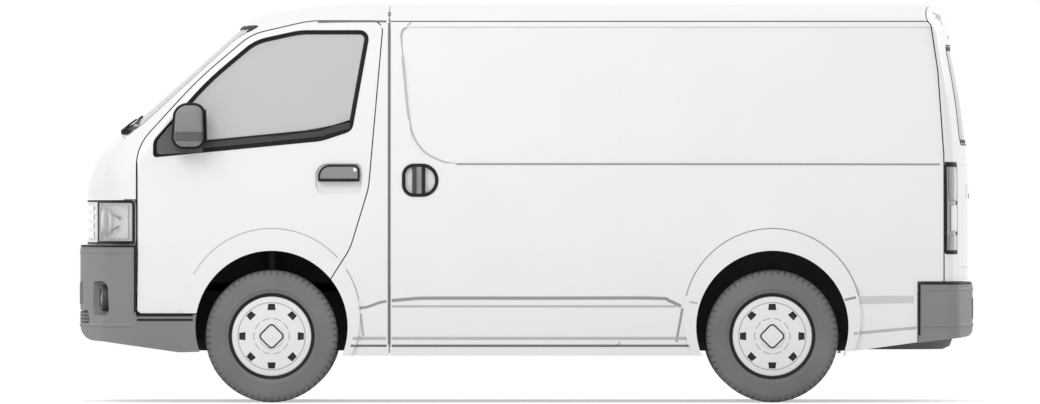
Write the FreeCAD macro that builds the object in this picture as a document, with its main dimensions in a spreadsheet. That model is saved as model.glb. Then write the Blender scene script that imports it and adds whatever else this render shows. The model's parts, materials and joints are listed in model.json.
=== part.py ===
import FreeCAD, Part
import math
import os
import re
import types

import Sketcher

# Panel van with a short nose, cab over the front wheels, sliding side doors and a tailgate.
# Millimetres, +Z up, nose towards -X, left side towards -Y, ground at Z = 0.
# X = 0 is half-way along the van, so lengths are measured from the front or the rear axle.

V = FreeCAD.Vector

SIZES = (
    # name, value, what it measures
    ("wheelbase", 2570, "front axle to rear axle"),
    ("front_overhang", 1001, "front axle to the bumper's face"),
    ("rear_overhang", 1048, "rear axle to the rear bumper's face"),
    ("body_width", 1700, "skin to skin at the widest height"),
    ("widest_height", 900, "height of the widest line"),
    ("side_bow", 4500, "radius of the side in an end view"),
    ("roof_height", 2055, "ground to the roof's crown"),
    ("belly_height", 240, "ground to the sills"),
    ("skin_depth", 45, "outer skin to inner lining of a wall or door"),
    ("seam", 5, "gap between body panels"),
    ("door_gap", 6, "gap round what opens"),
    ("seat_gap", 0.3, "clearance where one piece sits on another"),
    # side view of the shell: where each run passes, and its slope in degrees
    ("nose_reach", 960, "front axle to the nose panel"),
    ("screen_reach", 589, "front axle to a point half-way up the windscreen"),
    ("screen_middle", 1553, "height of that point"),
    ("screen_rake", 41.9, "windscreen, from level"),
    ("header_reach", 66, "front axle back to the header over the windscreen"),
    ("header_height", 2021, "height of the header there"),
    ("header_slope", 9, "header, from level"),
    ("tail_reach", 909, "rear axle to the top of the tail"),
    ("tail_height", 1939, "height of that point"),
    ("tail_lean", 11.8, "tailgate, from upright"),
    ("rear_reach", 1022, "rear axle to the rear face"),
    ("screen_foot_radius", 340, "nose into windscreen"),
    ("screen_top_radius", 416, "windscreen into header"),
    ("header_radius", 2600, "header into roof"),
    ("roof_tail_radius", 101, "roof into tail"),
    ("tail_radius", 2900, "tail into rear face"),
    ("nose_bow", 2100, "nose, seen from above"),
    ("screen_bow", 6000, "windscreen, seen from above"),
    ("roof_bow", 3000, "roof, seen from the end"),
    ("tail_bow", 3500, "tail, seen from above"),
    ("nose_corner", 160, "upright corner of the nose"),
    ("pillar_corner", 85, "corner along the pillars and the roof edge"),
    # panels
    ("gutter_height", 1957, "seam between side and roof"),
    ("b_seam_reach", 604, "front axle back to the seam behind the front door"),
    ("arch_radius", 391, "wheel opening"),
    ("arch_height", 388, "height of the wheel opening's centre"),
    ("flare_radius", 453, "outer edge of the flare round the opening"),
    ("flare_height", 437, "height of the flare's centre"),
    ("flare_depth", 16, "how far the flare stands out"),
    ("pressing_depth", 8, "how far the side's upper pressing lies in"),
    ("bumper_side", 8, "how far the bumpers stand out at the sides"),
    ("front_bumper_top", 808, "top of the front bumper"),
    ("rear_bumper_top", 617, "top of the rear bumper"),
    ("headlamp_top", 1039, "top of the headlamps"),
    ("headlamp_inner", 480, "centre plane to a headlamp"),
    ("bonnet_half", 655, "half the bonnet's width"),
    ("cowl_half", 600, "centre plane to a side frame's joint with scuttle and roof"),
    ("bonnet_top", 1368, "seam between bonnet and scuttle"),
    ("rear_lamp_top", 1229, "top of the rear lamps"),
    ("rear_lamp_foot", 761, "foot of the rear lamps"),
    ("rear_lamp_inner", 690, "centre plane to a rear lamp"),
    ("slide_length", 1186, "length of a sliding door"),
    ("slide_foot", 293, "foot of a sliding door"),
    ("slide_seam", 1, "gap at a sliding door's rear edge"),
    ("glass_depth", 6, "skin to the outer face of the glass"),
    ("glass_thick", 5, "window glass"),
    # front door
    ("door_front", 690, "front axle to the front edge of the door"),
    ("door_foot", 458, "foot of the front door"),
    ("hinge_back", 110, "door's front edge back to its hinge pin"),
    ("hinge_depth", 40, "widest line in to the hinge pin"),
    ("hinge_low", 600, "height of the lower door hinge"),
    ("hinge_high", 1120, "height of the upper door hinge"),
    ("pin_radius", 8, "hinge pins"),
    ("handle_bowl", 24, "depth of the hollow behind a door handle"),
    ("plate_screws", 300, "between a number plate's two screws"),
    ("plate_screw_radius", 3, "holes for those screws"),
    ("mirror_reach", 1000, "centre plane to the outside of a mirror"),
    ("mirror_stand", 40, "widest line out to a mirror"),
    ("mirror_round", 30, "outer edge of a mirror"),
    # wheels
    ("tyre_diameter", 680, "over the tread"),
    ("tyre_width", 185, "over the side walls"),
    ("rim_diameter", 407, "over the rim's flange"),
    ("rim_width", 150, "rim"),
    ("track", 1440, "between the wheels of one axle"),
    ("kingpin_inset", 40, "wheel's middle plane in to the kingpin"),
    ("kingpin_radius", 13, "kingpin"),
    ("stub_radius", 20, "stub axle that a wheel turns on"),
    ("knuckle_half", 75, "half the height of a steering knuckle"),
    ("cover_stand", 82, "wheel's middle plane out to its cover"),
    ("slot_count", 8, "slots round a wheel cover"),
    ("slot_ring", 150, "radius of the ring of slots"),
    # under the floor
    ("rail_gap", 680, "between the two rails, inside"),
    ("rail_width", 60, "one rail"),
    ("rail_top", 570, "height of the rails' top"),
    ("rail_height", 120, "depth of a rail"),
    ("floor_thick", 30, "floor plate"),
    ("load_rise", 3, "load floor's panel above that plate"),
    ("load_half", 560, "that panel, half its width"),
    ("jack_rise", 12, "jacking pads below the rails"),
    ("jack_front", 690, "front axle back to the front jacking pads"),
    ("jack_rear", 870, "rear axle forward to the rear jacking pads"),
    ("floor_half", 780, "half the floor's width"),
    ("box_top", 832, "top of the box under the seats"),
    ("box_front", 330, "front axle forward to the seat box"),
    ("house_radius", 400, "inside of a wheelhouse"),
    ("house_thick", 12, "wheelhouse wall"),
    ("house_foot", 295, "foot of the wheelhouses"),
    ("front_house_inner", 430, "centre plane to a front wheelhouse"),
    ("rear_house_inner", 575, "centre plane to a rear wheelhouse"),
    ("house_outer", 760, "centre plane to the outer edge of a wheelhouse"),
    ("axle_tube_radius", 45, "rear axle tube"),
    ("spring_half", 600, "half the length of a rear spring"),
    ("engine_length", 560, "engine block"),
    ("engine_width", 480, "engine block"),
    ("engine_foot", 385, "underside of the engine block"),
    ("engine_height", 395, "engine block"),
    ("tank_length", 700, "fuel tank"),
    ("tank_width", 270, "fuel tank"),
    ("tank_height", 230, "fuel tank"),
    ("spare_width", 170, "spare wheel"),
    ("steering_diameter", 400, "steering wheel"),
    ("steering_tilt", 50, "steering column, from level"),
)

doc = FreeCAD.newDocument("PanelVan")
sheet = doc.addObject("Spreadsheet::Sheet", "Sizes")
for row, (name, value, note) in enumerate(SIZES, start=1):
    sheet.set(f"A{row}", name)
    sheet.set(f"B{row}", str(value))
    sheet.setAlias(f"B{row}", name)
    sheet.set(f"C{row}", note)
doc.recompute()
mm = types.SimpleNamespace(**{name: float(sheet.get(name)) for name, value, note in SIZES})

FRONT_AXLE = mm.front_overhang - (mm.front_overhang + mm.wheelbase + mm.rear_overhang) / 2
REAR_AXLE = FRONT_AXLE + mm.wheelbase
AXLE_HEIGHT = mm.tyre_diameter / 2
HALF_WIDTH = mm.body_width / 2
FAR = 4000.0

FLOOR_NOSE = FRONT_AXLE - mm.door_front - 70
FLOOR_TAIL = REAR_AXLE + 860
PLATE_TOP = mm.rail_top + mm.floor_thick

sub_parts = []


# Helpers: expressions, sketches and plain solids

def bound(text):
    """The expression with the sheet's name before each size."""
    return re.sub(r"\b[a-z]\w*\b(?!\()", r"Sizes.\g<0>", text)


def number(text):
    value = sheet.evalExpression(text)
    return float(getattr(value, "Value", value))


def sub_part(label, shape):
    """One finished piece whose shape is set by code."""
    piece = doc.addObject("Part::Feature", label)
    piece.Label = label
    piece.Shape = shape
    piece.Placement = FreeCAD.Placement()
    sub_parts.append(piece)
    return piece


def rounded(points, radii):
    """Closed wire of straight runs with a tangent arc at each corner that has a radius."""
    corners = []
    for i, (point, radius) in enumerate(zip(points, radii)):
        back = (points[i - 1] - point).normalize()
        ahead = (points[(i + 1) % len(points)] - point).normalize()
        if radius <= 0:
            corners.append((point, None, point))
            continue
        half = back.getAngle(ahead) / 2
        reach = radius / math.tan(half)
        inward = (back + ahead).normalize()
        middle = point + inward * (radius / math.sin(half) - radius)
        corners.append((point + back * reach, middle, point + ahead * reach))
    edges = []
    for i, (start, middle, end) in enumerate(corners):
        if middle is not None:
            edges.append(Part.Arc(start, middle, end).toShape())
        following = corners[(i + 1) % len(corners)][0]
        if (following - end).Length > 1e-6:
            edges.append(Part.LineSegment(end, following).toShape())
    return Part.Wire(edges)


def side_prism(corners, low, high, grow=0.0):
    """Solid from a side-view outline of (x, z, corner radius), between two values of y."""
    wire = rounded([V(x, low, z) for x, z, radius in corners], [radius for x, z, radius in corners])
    face = Part.Face(wire)
    if grow:
        face = Part.Face(face.makeOffset2D(grow).OuterWire)
    return face.extrude(V(0, high - low, 0))


def end_prism(corners, low, high, grow=0.0):
    """Solid from an end-view outline of (y, z, corner radius), between two values of x."""
    wire = rounded([V(low, y, z) for y, z, radius in corners], [radius for y, z, radius in corners])
    face = Part.Face(wire)
    if grow:
        face = Part.Face(face.makeOffset2D(grow).OuterWire)
    return face.extrude(V(high - low, 0, 0))


def box(x0, x1, y0, y1, z0, z1):
    return Part.makeBox(x1 - x0, y1 - y0, z1 - z0, V(x0, y0, z0))


def across(radius, x, z, low, high):
    """Cylinder that lies across the van."""
    return Part.makeCylinder(radius, high - low, V(x, low, z), V(0, 1, 0))


def upright(radius, x, y, low, high):
    return Part.makeCylinder(radius, high - low, V(x, y, low), V(0, 0, 1))


def floor_room(gap):
    """What the floor and the box under the seats fill, with a gap all round."""
    half = mm.floor_half + gap
    plate = box(FLOOR_NOSE - gap, FLOOR_TAIL + gap, -half, half, mm.rail_top - gap, PLATE_TOP + gap)
    return plate.fuse(box(FRONT_AXLE - mm.box_front - mm.floor_thick - gap,
                          FRONT_AXLE + mm.b_seam_reach + gap, -half, half, mm.rail_top, mm.box_top + gap))


def right_of(shape):
    """The same piece on the right side."""
    return shape.mirror(V(0, 0, 0), V(0, 1, 0))


def joined(*shapes):
    return shapes[0].multiFuse(list(shapes[1:]))


# Master shapes: the outside of the shell, and the same shape at other depths

def silhouette(y, inset, nose_out, tail_out):
    """Side-view section of the shell at y, moved in by inset."""
    def sag(bow):
        return bow - math.sqrt(bow ** 2 - y ** 2)

    runs = (
        # x, z, direction in degrees, inward shift
        (FRONT_AXLE - mm.nose_reach, mm.widest_height, 90, inset + sag(mm.nose_bow) - nose_out),
        (FRONT_AXLE - mm.screen_reach, mm.screen_middle, mm.screen_rake, inset + sag(mm.screen_bow)),
        (FRONT_AXLE + mm.header_reach, mm.header_height, mm.header_slope, inset + sag(mm.roof_bow)),
        (0, mm.roof_height, 0, inset + sag(mm.roof_bow)),
        (REAR_AXLE + mm.tail_reach, mm.tail_height, mm.tail_lean - 90, inset + sag(mm.tail_bow)),
        (REAR_AXLE + mm.rear_reach, mm.widest_height, -90, inset + sag(mm.tail_bow) - tail_out),
        (0, mm.belly_height, 180, -abs(inset)),
    )
    lines = []
    for x, z, angle, shift in runs:
        along = V(math.cos(math.radians(angle)), 0, math.sin(math.radians(angle)))
        lines.append((V(x, 0, z) + V(along.z, 0, -along.x) * shift, along))
    points = []
    for (p, u), (q, w) in zip([lines[-1]] + lines[:-1], lines):
        crossing = u.x * w.z - u.z * w.x
        reach = ((q.x - p.x) * w.z - (q.z - p.z) * w.x) / crossing
        points.append(V(p.x + u.x * reach, y, p.z + u.z * reach))
    radii = (0, mm.screen_foot_radius, mm.screen_top_radius, mm.header_radius,
             mm.roof_tail_radius, mm.tail_radius, 0)
    return rounded(points, [max(radius - inset, 0) if radius else 0 for radius in radii])


def side_curve(height, inset):
    """Half width of the shell at a height."""
    bow = mm.side_bow - inset
    return HALF_WIDTH - inset - bow + math.sqrt(bow ** 2 - (height - mm.widest_height) ** 2)


def tunnel(inset):
    """Long bar whose two sides are the curved sides of the shell."""
    low = mm.belly_height - 100
    high = mm.roof_height + 200
    half = [(side_curve(z, inset), z) for z in (low, mm.widest_height, high)]
    right = [V(-FAR, y, z) for y, z in half]
    left = [V(-FAR, -y, z) for y, z in reversed(half)]
    edges = [Part.Arc(*right).toShape(), Part.LineSegment(right[2], left[0]).toShape(),
             Part.Arc(*left).toShape(), Part.LineSegment(left[2], right[0]).toShape()]
    return Part.Face(Part.Wire(edges)).extrude(V(2 * FAR, 0, 0))


def hull(label, inset, nose_out=0.0, tail_out=0.0):
    """The shell's outer form as a solid, at a depth of inset, with its corners rounded."""
    stations = [HALF_WIDTH * 1.2 * step / 3 for step in (-3, -2, -1, 0, 1, 2, 3)]
    sections = [silhouette(y, inset, nose_out, tail_out) for y in stations]
    blank = doc.addObject("Part::Feature", label + "_blank")
    blank.Shape = Part.makeLoft(sections, True, False).common(tunnel(inset))
    wide = max(mm.nose_corner - inset, 20)
    tight = max(mm.pillar_corner - inset, 12)
    nose_top = mm.headlamp_top + 200
    rounds = []
    for index, edge in enumerate(blank.Shape.Edges, start=1):
        ends = [edge.valueAt(edge.FirstParameter), edge.valueAt(edge.LastParameter)]
        middle = edge.valueAt((edge.FirstParameter + edge.LastParameter) / 2)
        faces = blank.Shape.ancestorsOfType(edge, Part.Face)
        if len(faces) != 2 or max(end.z for end in ends) < mm.belly_height + abs(inset) + 5:
            continue
        normals = [face.normalAt(*face.Surface.parameter(middle)) for face in faces]
        if math.degrees(normals[0].getAngle(normals[1])) < 12:
            continue
        on_nose = [end.x < FRONT_AXLE - mm.screen_reach and end.z < nose_top for end in ends]
        rounds.append((index, *[wide if nose else tight for nose in on_nose]))
    body = doc.addObject("Part::Fillet", label)
    body.Base = blank
    body.Edges = rounds
    return body


skin_body = hull("skin", 0.0)
lining_body = hull("lining", mm.skin_depth)
deep_body = hull("deep", 2 * mm.skin_depth)
pressing_body = hull("pressing", mm.pressing_depth)
flare_body = hull("flare", -mm.flare_depth)
glass_outer_body = hull("glass_outer", mm.glass_depth)
glass_inner_body = hull("glass_inner", mm.glass_depth + mm.glass_thick)
BUMPER_NOSE = mm.front_overhang - mm.nose_reach - mm.bumper_side
BUMPER_TAIL = mm.rear_overhang - mm.rear_reach - mm.bumper_side
bumper_body = hull("bumper", -mm.bumper_side, BUMPER_NOSE, BUMPER_TAIL)
bumper_inner_body = hull("bumper_inner", mm.skin_depth - mm.bumper_side, BUMPER_NOSE, BUMPER_TAIL)
doc.recompute()
skin, lining = skin_body.Shape, lining_body.Shape
inner_layer = lining.cut(deep_body.Shape)
shell = skin.cut(lining)
left_shell = shell.common(box(-FAR, FAR, -FAR, 0, 0, FAR))


def glazed(outline):
    """Glass that fills an outline."""
    return glass_outer_body.Shape.common(outline).cut(glass_inner_body.Shape)


# Outlines in the side view, x from the named axle

def from_front(*corners):
    return [(FRONT_AXLE + x, z, radius) for x, z, radius in corners]


def from_rear(*corners):
    return [(REAR_AXLE + x, z, radius) for x, z, radius in corners]


door_edge = from_front(
    (-mm.door_front, mm.door_foot, 25), (-mm.door_front, 1312, 252), (-376, 1656, 2016),
    (-103, 1888, 270), (193, mm.gutter_height, 480), (570, mm.gutter_height, 50),
    (495, 1101, 300), (401, 792, 300), (257, 566, 0), (257, mm.door_foot, 0))
window_edge = from_front(
    (-607, 1258, 15), (-607, 1343, 60), (-330, 1656, 1500), (-88, 1860, 250),
    (143, 1911, 400), (506, 1911, 45), (413, 1394, 50), (257, 1342, 300))
rear_seam = [(REAR_AXLE + 805, 2040), (REAR_AXLE + 853, 1708), (REAR_AXLE + 883, 1270),
             (REAR_AXLE + 884, mm.belly_height - 100)]


def behind_rear_seam(shift):
    """Side-view outline of everything behind the rear seam."""
    ahead = [(x + shift, z, 0) for x, z in rear_seam]
    return [(ahead[0][0] - 30, mm.roof_height + 200, 0)] + ahead + \
        [(FAR, mm.belly_height - 100, 0), (FAR, mm.roof_height + 200, 0)]


ARCHES = {"front": FRONT_AXLE, "rear": REAR_AXLE}
B_SEAM = FRONT_AXLE + mm.b_seam_reach
LEFT = (-FAR, 0)
arch_cut = {end: across(mm.arch_radius, x, mm.arch_height, -FAR, 0) for end, x in ARCHES.items()}


def flare(end):
    """Raised ring round one wheel opening, left side."""
    ring = across(mm.flare_radius, ARCHES[end], mm.flare_height, -FAR, -HALF_WIDTH / 2)
    ring = ring.cut([arch_cut[end], box(-FAR, FAR, -FAR, 0, 0, mm.belly_height)])
    return flare_body.Shape.common(ring).cut(pressing_body.Shape)


# Front doors and what they carry

HINGE_X = FRONT_AXLE - mm.door_front + mm.hinge_back
HINGE_Y = -(HALF_WIDTH - mm.hinge_depth)
PILLAR_TOP = 1230.0
POST_REAR = FRONT_AXLE - mm.door_front - 10


def hinge_round(extra):
    return upright(mm.hinge_back + extra, HINGE_X, HINGE_Y, 0, PILLAR_TOP)


ARM_HALF = 18.0
ARM_REACH = mm.hinge_back + 12


def door_hinge(height):
    """Pin and gooseneck arm that carry the left door, fixed to the post ahead of it."""
    pin = upright(mm.pin_radius, HINGE_X, HINGE_Y, height - 50, height + 50)
    inward = box(HINGE_X - 10, HINGE_X + 10, HINGE_Y, HINGE_Y + ARM_REACH + 20,
                 height - ARM_HALF, height + ARM_HALF)
    forward = box(POST_REAR - 20, HINGE_X, HINGE_Y + ARM_REACH, HINGE_Y + ARM_REACH + 20,
                  height - ARM_HALF, height + ARM_HALF)
    return joined(pin, inward, forward)


def door_pocket(height):
    """Room in the left door for one hinge and its pin."""
    room = box(HINGE_X - mm.hinge_back - 5, HINGE_X + 26, HINGE_Y - 14, 0,
               height - ARM_HALF - 5, height + ARM_HALF + 5)
    return room.fuse(upright(mm.pin_radius + mm.seat_gap, HINGE_X, HINGE_Y, height - 51, height + 51))


BOWL = mm.handle_bowl
door_bowl = side_prism(from_front((226, 1070, 45), (462, 1070, 45), (462, 1226, 30), (226, 1226, 60)), *LEFT)
slide_bowl = side_prism(from_front((672, 1060, 55), (848, 1060, 75), (848, 1222, 75), (672, 1222, 55)), *LEFT)
bowl_floor = box(-FAR, FAR, -(HALF_WIDTH - BOWL), FAR, 0, FAR)


def door():
    ahead = box(-FAR, HINGE_X, -FAR, 0, 0, PILLAR_TOP).cut(hinge_round(0))
    blank = side_prism(door_edge, *LEFT).cut(ahead)
    panel = left_shell.common(blank)
    panel = joined(panel, flare("front").common(blank))
    return panel.cut([arch_cut["front"], side_prism(window_edge, *LEFT, grow=-8),
                      door_pocket(mm.hinge_low), door_pocket(mm.hinge_high), door_bowl.cut(bowl_floor)])


door_hole = side_prism(door_edge, *LEFT, grow=mm.door_gap)
hinge_hole = hinge_round(mm.door_gap).common(box(-FAR, FAR, -FAR, 0, mm.door_foot - mm.door_gap, FAR))
door_left = door()
window = side_prism(window_edge, *LEFT, grow=-8 - mm.seat_gap)
door_glass_left = glazed(window)

for side, turn in (("left", lambda shape: shape), ("right", right_of)):
    sub_part(f"door_{side}", turn(door_left))
    sub_part(f"door_glass_{side}", turn(door_glass_left))


# Windscreen

def screen_edge():
    """Windscreen outline in the front view."""
    half_foot, half_head, foot, head = 735, 640, 1400, 1935
    return [(-half_foot, foot, 60), (half_foot, foot, 60), (half_head, head, 70), (-half_head, head, 70)]


screen_hole = end_prism(screen_edge(), -FAR, FRONT_AXLE + 250)
sub_part("windscreen", glazed(end_prism(screen_edge(), -FAR, FRONT_AXLE + 250, grow=-mm.seat_gap)))

# Bonnet

BONNET_FOOT = mm.headlamp_top + mm.door_gap
BONNET_HINGE = (FRONT_AXLE - 801, mm.bonnet_top - 55)
BONNET_ROUND = 60.0


def bonnet_space(gap):
    """What the bonnet fills, or its opening with a gap all round."""
    half = mm.bonnet_half + gap
    x, z = BONNET_HINGE
    below = box(-FAR, x + 60 + gap, -half, half, BONNET_FOOT - gap, z)
    return below.fuse(across(BONNET_ROUND + gap, x, z, -half, half))


BONNET_PINS = (-250, 250)


def lid_hinge(x, z, reach, tail_x, y):
    """Pin along Y with an arm that drops from it and runs along to tail_x."""
    pin = across(mm.pin_radius, x, z, y - 40, y + 40)
    drop = box(x - 9, x + 9, y - 15, y + 15, z - reach - 18, z)
    run = box(min(tail_x, x), max(tail_x, x), y - 15, y + 15, z - reach - 18, z - reach)
    return joined(pin, drop, run)


def lid_pocket(x, z, y, ahead):
    """Room in a lid for that hinge, on the side towards ahead."""
    room = box(min(x - 14, x + ahead), max(x + 14, x + ahead), y - 20, y + 20, z - 150, z + 14)
    return room.fuse(across(mm.pin_radius + mm.seat_gap, x, z, y - 41, y + 41))


bonnet = shell.common(bonnet_space(0)).cut([lid_pocket(*BONNET_HINGE, y, 80) for y in BONNET_PINS])
sub_part("bonnet", bonnet)

# Cab: side frames with wings, pillars and sills, the scuttle between them and the roof between them

front_end = side_prism(from_front(
    (-2000, mm.headlamp_top + mm.seam, 0), (-mm.door_front - mm.seam, mm.headlamp_top + mm.seam, 0),
    (-mm.door_front - mm.seam, mm.door_foot + 30, 0), (-300, mm.door_foot + 30, 0),
    (-300, 0, 0), (-2000, 0, 0)), -FAR, FAR)
cab = shell.common(box(-FAR, B_SEAM - mm.seam / 2, -FAR, FAR, 0, FAR))
cab = cab.cut(front_end)
cab = cab.cut(bonnet_space(mm.door_gap)).cut(screen_hole)
left_cut = [door_hole, hinge_hole, arch_cut["front"]]
cab = cab.cut(left_cut + [right_of(shape) for shape in left_cut])
sill_flare = flare("front").cut(door_hole).common(
    box(FRONT_AXLE, B_SEAM - mm.seam / 2, -FAR, 0, 0, FAR))
nose_back = inner_layer.common(box(-FAR, FRONT_AXLE - mm.door_front - 10, -FAR, FAR, PLATE_TOP + mm.seat_gap,
                                   mm.headlamp_top))
post = lining.common(box(POST_REAR - 60, POST_REAR, -FAR, HINGE_Y + ARM_REACH + 20, 500, 1250))
post = joined(post, door_hinge(mm.hinge_low), door_hinge(mm.hinge_high))
scuttle = lining.common(box(POST_REAR - 60, POST_REAR, -FAR, FAR, 1190, 1250))
hoop = inner_layer.common(box(B_SEAM - 20, B_SEAM + 60, -FAR, FAR, mm.rail_top, FAR))
bonnet_arms = [lid_hinge(*BONNET_HINGE, BONNET_ROUND + 12, POST_REAR - 30, y) for y in BONNET_PINS]
inside = joined(nose_back, scuttle, post, right_of(post), hoop, *bonnet_arms).cut(floor_room(mm.seat_gap))
cab = joined(cab, sill_flare, right_of(sill_flare), inside)
side_frame = cab.common(box(-FAR, FAR, -FAR, -mm.cowl_half, 0, FAR))
sub_part("cab_roof", cab.common(box(-FAR, FAR, -mm.cowl_half, mm.cowl_half, mm.screen_middle, FAR)))
sub_part("cab_frame", cab.common(box(-FAR, FAR, -mm.cowl_half, mm.cowl_half, 0, mm.screen_middle)))
sub_part("side_frame_left", side_frame)
sub_part("side_frame_right", right_of(side_frame))

# Roof behind the cab

TAIL_HINGE = (REAR_AXLE + 864, mm.roof_height - 63)
TAIL_ROUND = 68.0


def tail_space(gap):
    """Everything behind the rear seam, with the rounded edge at the tailgate's hinge."""
    x, z = TAIL_HINGE
    below = side_prism(behind_rear_seam(-gap), -FAR, FAR).common(box(-FAR, FAR, -FAR, FAR, 0, z))
    behind = box(x, FAR, -FAR, FAR, z, FAR)
    return below.multiFuse([behind, across(TAIL_ROUND + gap, x, z, -FAR, FAR)])


roof = shell.common(box(B_SEAM + mm.seam / 2, FAR, -FAR, FAR, mm.gutter_height + mm.seam / 2, FAR))
sub_part("roof", roof.cut(tail_space(mm.door_gap)))

# Sides behind the cab

slide_hole = side_prism([
    (B_SEAM - mm.seam, mm.slide_foot - mm.seam, 0),
    (B_SEAM + mm.slide_length, mm.slide_foot - mm.seam, 30),
    (B_SEAM + mm.slide_length, mm.gutter_height + mm.seam / 2, 0),
    (B_SEAM - mm.seam, mm.gutter_height + mm.seam / 2, 0)], *LEFT)
pressing_edge = [
    (B_SEAM + 51, 1929, 40), (B_SEAM + 126, 1227, 170), (REAR_AXLE + 1000, 1227, 0),
    (REAR_AXLE + 1000, 1929, 0)]
pressing = side_prism(pressing_edge, *LEFT).cut(pressing_body.Shape)
side = left_shell.common(box(B_SEAM + mm.seam / 2, FAR, -FAR, 0, 0, mm.gutter_height - mm.seam / 2))
side = side.cut([tail_space(mm.door_gap), arch_cut["rear"], pressing])
tail_ramp = side_prism([(REAR_AXLE + 380, 0, 0), (REAR_AXLE + 380, 262, 0), (REAR_AXLE + 439, 267, 0),
                        (REAR_AXLE + 900, 330, 0), (REAR_AXLE + 1200, 380, 0), (REAR_AXLE + 1200, 0, 0)],
                       -FAR, FAR)
side_all = joined(side, flare("rear")).cut(tail_ramp)
sliding_left = side_all.common(side_prism([
    (B_SEAM + mm.seam / 2, mm.slide_foot, 0),
    (B_SEAM + mm.slide_length - mm.slide_seam, mm.slide_foot, 30),
    (B_SEAM + mm.slide_length - mm.slide_seam, mm.gutter_height - mm.seam / 2, 0),
    (B_SEAM + mm.seam / 2, mm.gutter_height - mm.seam / 2, 0)], *LEFT)).cut(slide_bowl.cut(bowl_floor))
side_left = side_all.cut(slide_hole)
rear_cut = box(REAR_AXLE + 744, FAR, -FAR, FAR, 0, mm.rear_bumper_top + mm.seam)
side_left = side_left.cut(rear_cut)
for side_name, turn in (("left", lambda shape: shape), ("right", right_of)):
    sub_part(f"side_panel_{side_name}", turn(side_left))
    sub_part(f"sliding_door_{side_name}", turn(sliding_left))

# Tailgate

LAMP_SIDE = mm.rear_lamp_inner - 7


def tailgate():
    gate = shell.common(tail_space(0))
    keep = box(-FAR, FAR, -FAR, FAR, mm.rear_lamp_top + mm.door_gap, FAR)
    keep = keep.fuse(box(-FAR, FAR, -LAMP_SIDE + mm.door_gap, LAMP_SIDE - mm.door_gap,
                         mm.rear_bumper_top + 8, FAR))
    return gate.common(keep)


rear_window = [(-560, 1330, 60), (560, 1330, 60), (500, 1830, 60), (-500, 1830, 60)]
TAIL_PINS = (-450, 450)
sub_part("tailgate", tailgate().cut(
    [end_prism(rear_window, 0, FAR)] + [lid_pocket(*TAIL_HINGE, y, -90) for y in TAIL_PINS]))
sub_part("tailgate_glass", glazed(end_prism(rear_window, 0, FAR, grow=-mm.seat_gap)))

# Rear frame: the ring that the tailgate closes on, and the corners that hold the lamps

RING = (REAR_AXLE + 720, REAR_AXLE + 780)
corner = box(REAR_AXLE + 884, FAR, -FAR, -LAMP_SIDE, mm.rear_bumper_top + mm.seam, mm.rear_lamp_top)
ring = inner_layer.common(box(*RING, -FAR, FAR, mm.rail_top, FAR)).cut(floor_room(mm.seat_gap))
link = inner_layer.common(box(RING[0], FAR, -FAR, -LAMP_SIDE, mm.rear_bumper_top + mm.seam,
                              mm.rear_lamp_top))
post = shell.common(corner)
lamp_edge = from_rear((884, mm.rear_lamp_foot, 12), (1200, mm.rear_lamp_foot, 0),
                      (1200, mm.rear_lamp_top, 0), (884, mm.rear_lamp_top, 12))
lamp_room = side_prism(lamp_edge, -FAR, -mm.rear_lamp_inner, grow=mm.seat_gap).common(
    shell)
post = post.cut(lamp_room)
tail_arms = [lid_hinge(*TAIL_HINGE, TAIL_ROUND + 10, RING[0], y) for y in TAIL_PINS]
stems = [box(*RING, y - 15, y + 15, TAIL_HINGE[1] - TAIL_ROUND - 28, TAIL_HINGE[1] - 40) for y in TAIL_PINS]
rear_frame = joined(ring, link, right_of(link), post, right_of(post), *tail_arms, *stems)
sub_part("rear_frame", rear_frame)

lamp = shell.common(side_prism(lamp_edge, -FAR, -mm.rear_lamp_inner)).common(
    box(REAR_AXLE + 884, FAR, -FAR, 0, 0, FAR))
sub_part("tail_lamps", Part.makeCompound([lamp, right_of(lamp)]))

# Headlamps and grille

head_edge = from_front((-2000, mm.front_bumper_top + mm.seam, 0),
                       (-mm.door_front - mm.seam, mm.front_bumper_top + mm.seam, 20),
                       (-mm.door_front - mm.seam, mm.headlamp_top, 30), (-2000, mm.headlamp_top, 0))
head = shell.common(side_prism(head_edge, -FAR, -mm.headlamp_inner))
head = head.cut([hinge_round(mm.door_gap)])
sub_part("headlamps", Part.makeCompound([head, right_of(head)]))
grille_half = mm.headlamp_inner - mm.seam
grille = shell.common(box(-FAR, FRONT_AXLE - 500, -grille_half, grille_half,
                          mm.front_bumper_top + mm.seam, mm.headlamp_top))
slots = []
for height in (850, 895, 940, 985):
    slots.append(end_prism([(-430, height, 8), (430, height, 8), (430, height + 24, 8), (-430, height + 24, 8)],
                           -FAR, FRONT_AXLE - 500))
sub_part("grille", grille.cut(slots))

# Bumpers

STEP_TOP = mm.door_foot - mm.door_gap
front_edge = from_front(
    (-mm.front_overhang, mm.front_bumper_top, 30), (-mm.door_front - mm.seam, mm.front_bumper_top, 0),
    (-mm.door_front - mm.seam, STEP_TOP, 0), (-300, STEP_TOP, 0), (-300, 262, 0), (-474, 257, 0),
    (-860, 312, 60), (-mm.front_overhang, 322, 90))
front_bumper = bumper_body.Shape.common(side_prism(front_edge, -FAR, FAR)).cut(
    [bumper_inner_body.Shape, arch_cut["front"], right_of(arch_cut["front"])])
fog_edge = [(-785, 448, 25), (-560, 448, 45), (-585, 622, 30), (-785, 622, 45)]
fog_room = end_prism(fog_edge, -FAR, FRONT_AXLE - 700).cut(skin)
intake_edge = [(-500, 400, 20), (500, 400, 20), (460, 470, 20), (-460, 470, 20)]
intake = end_prism(intake_edge, -FAR, FRONT_AXLE - 700).cut(skin)
front_bumper = front_bumper.cut([fog_room, right_of(fog_room), intake])


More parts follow.
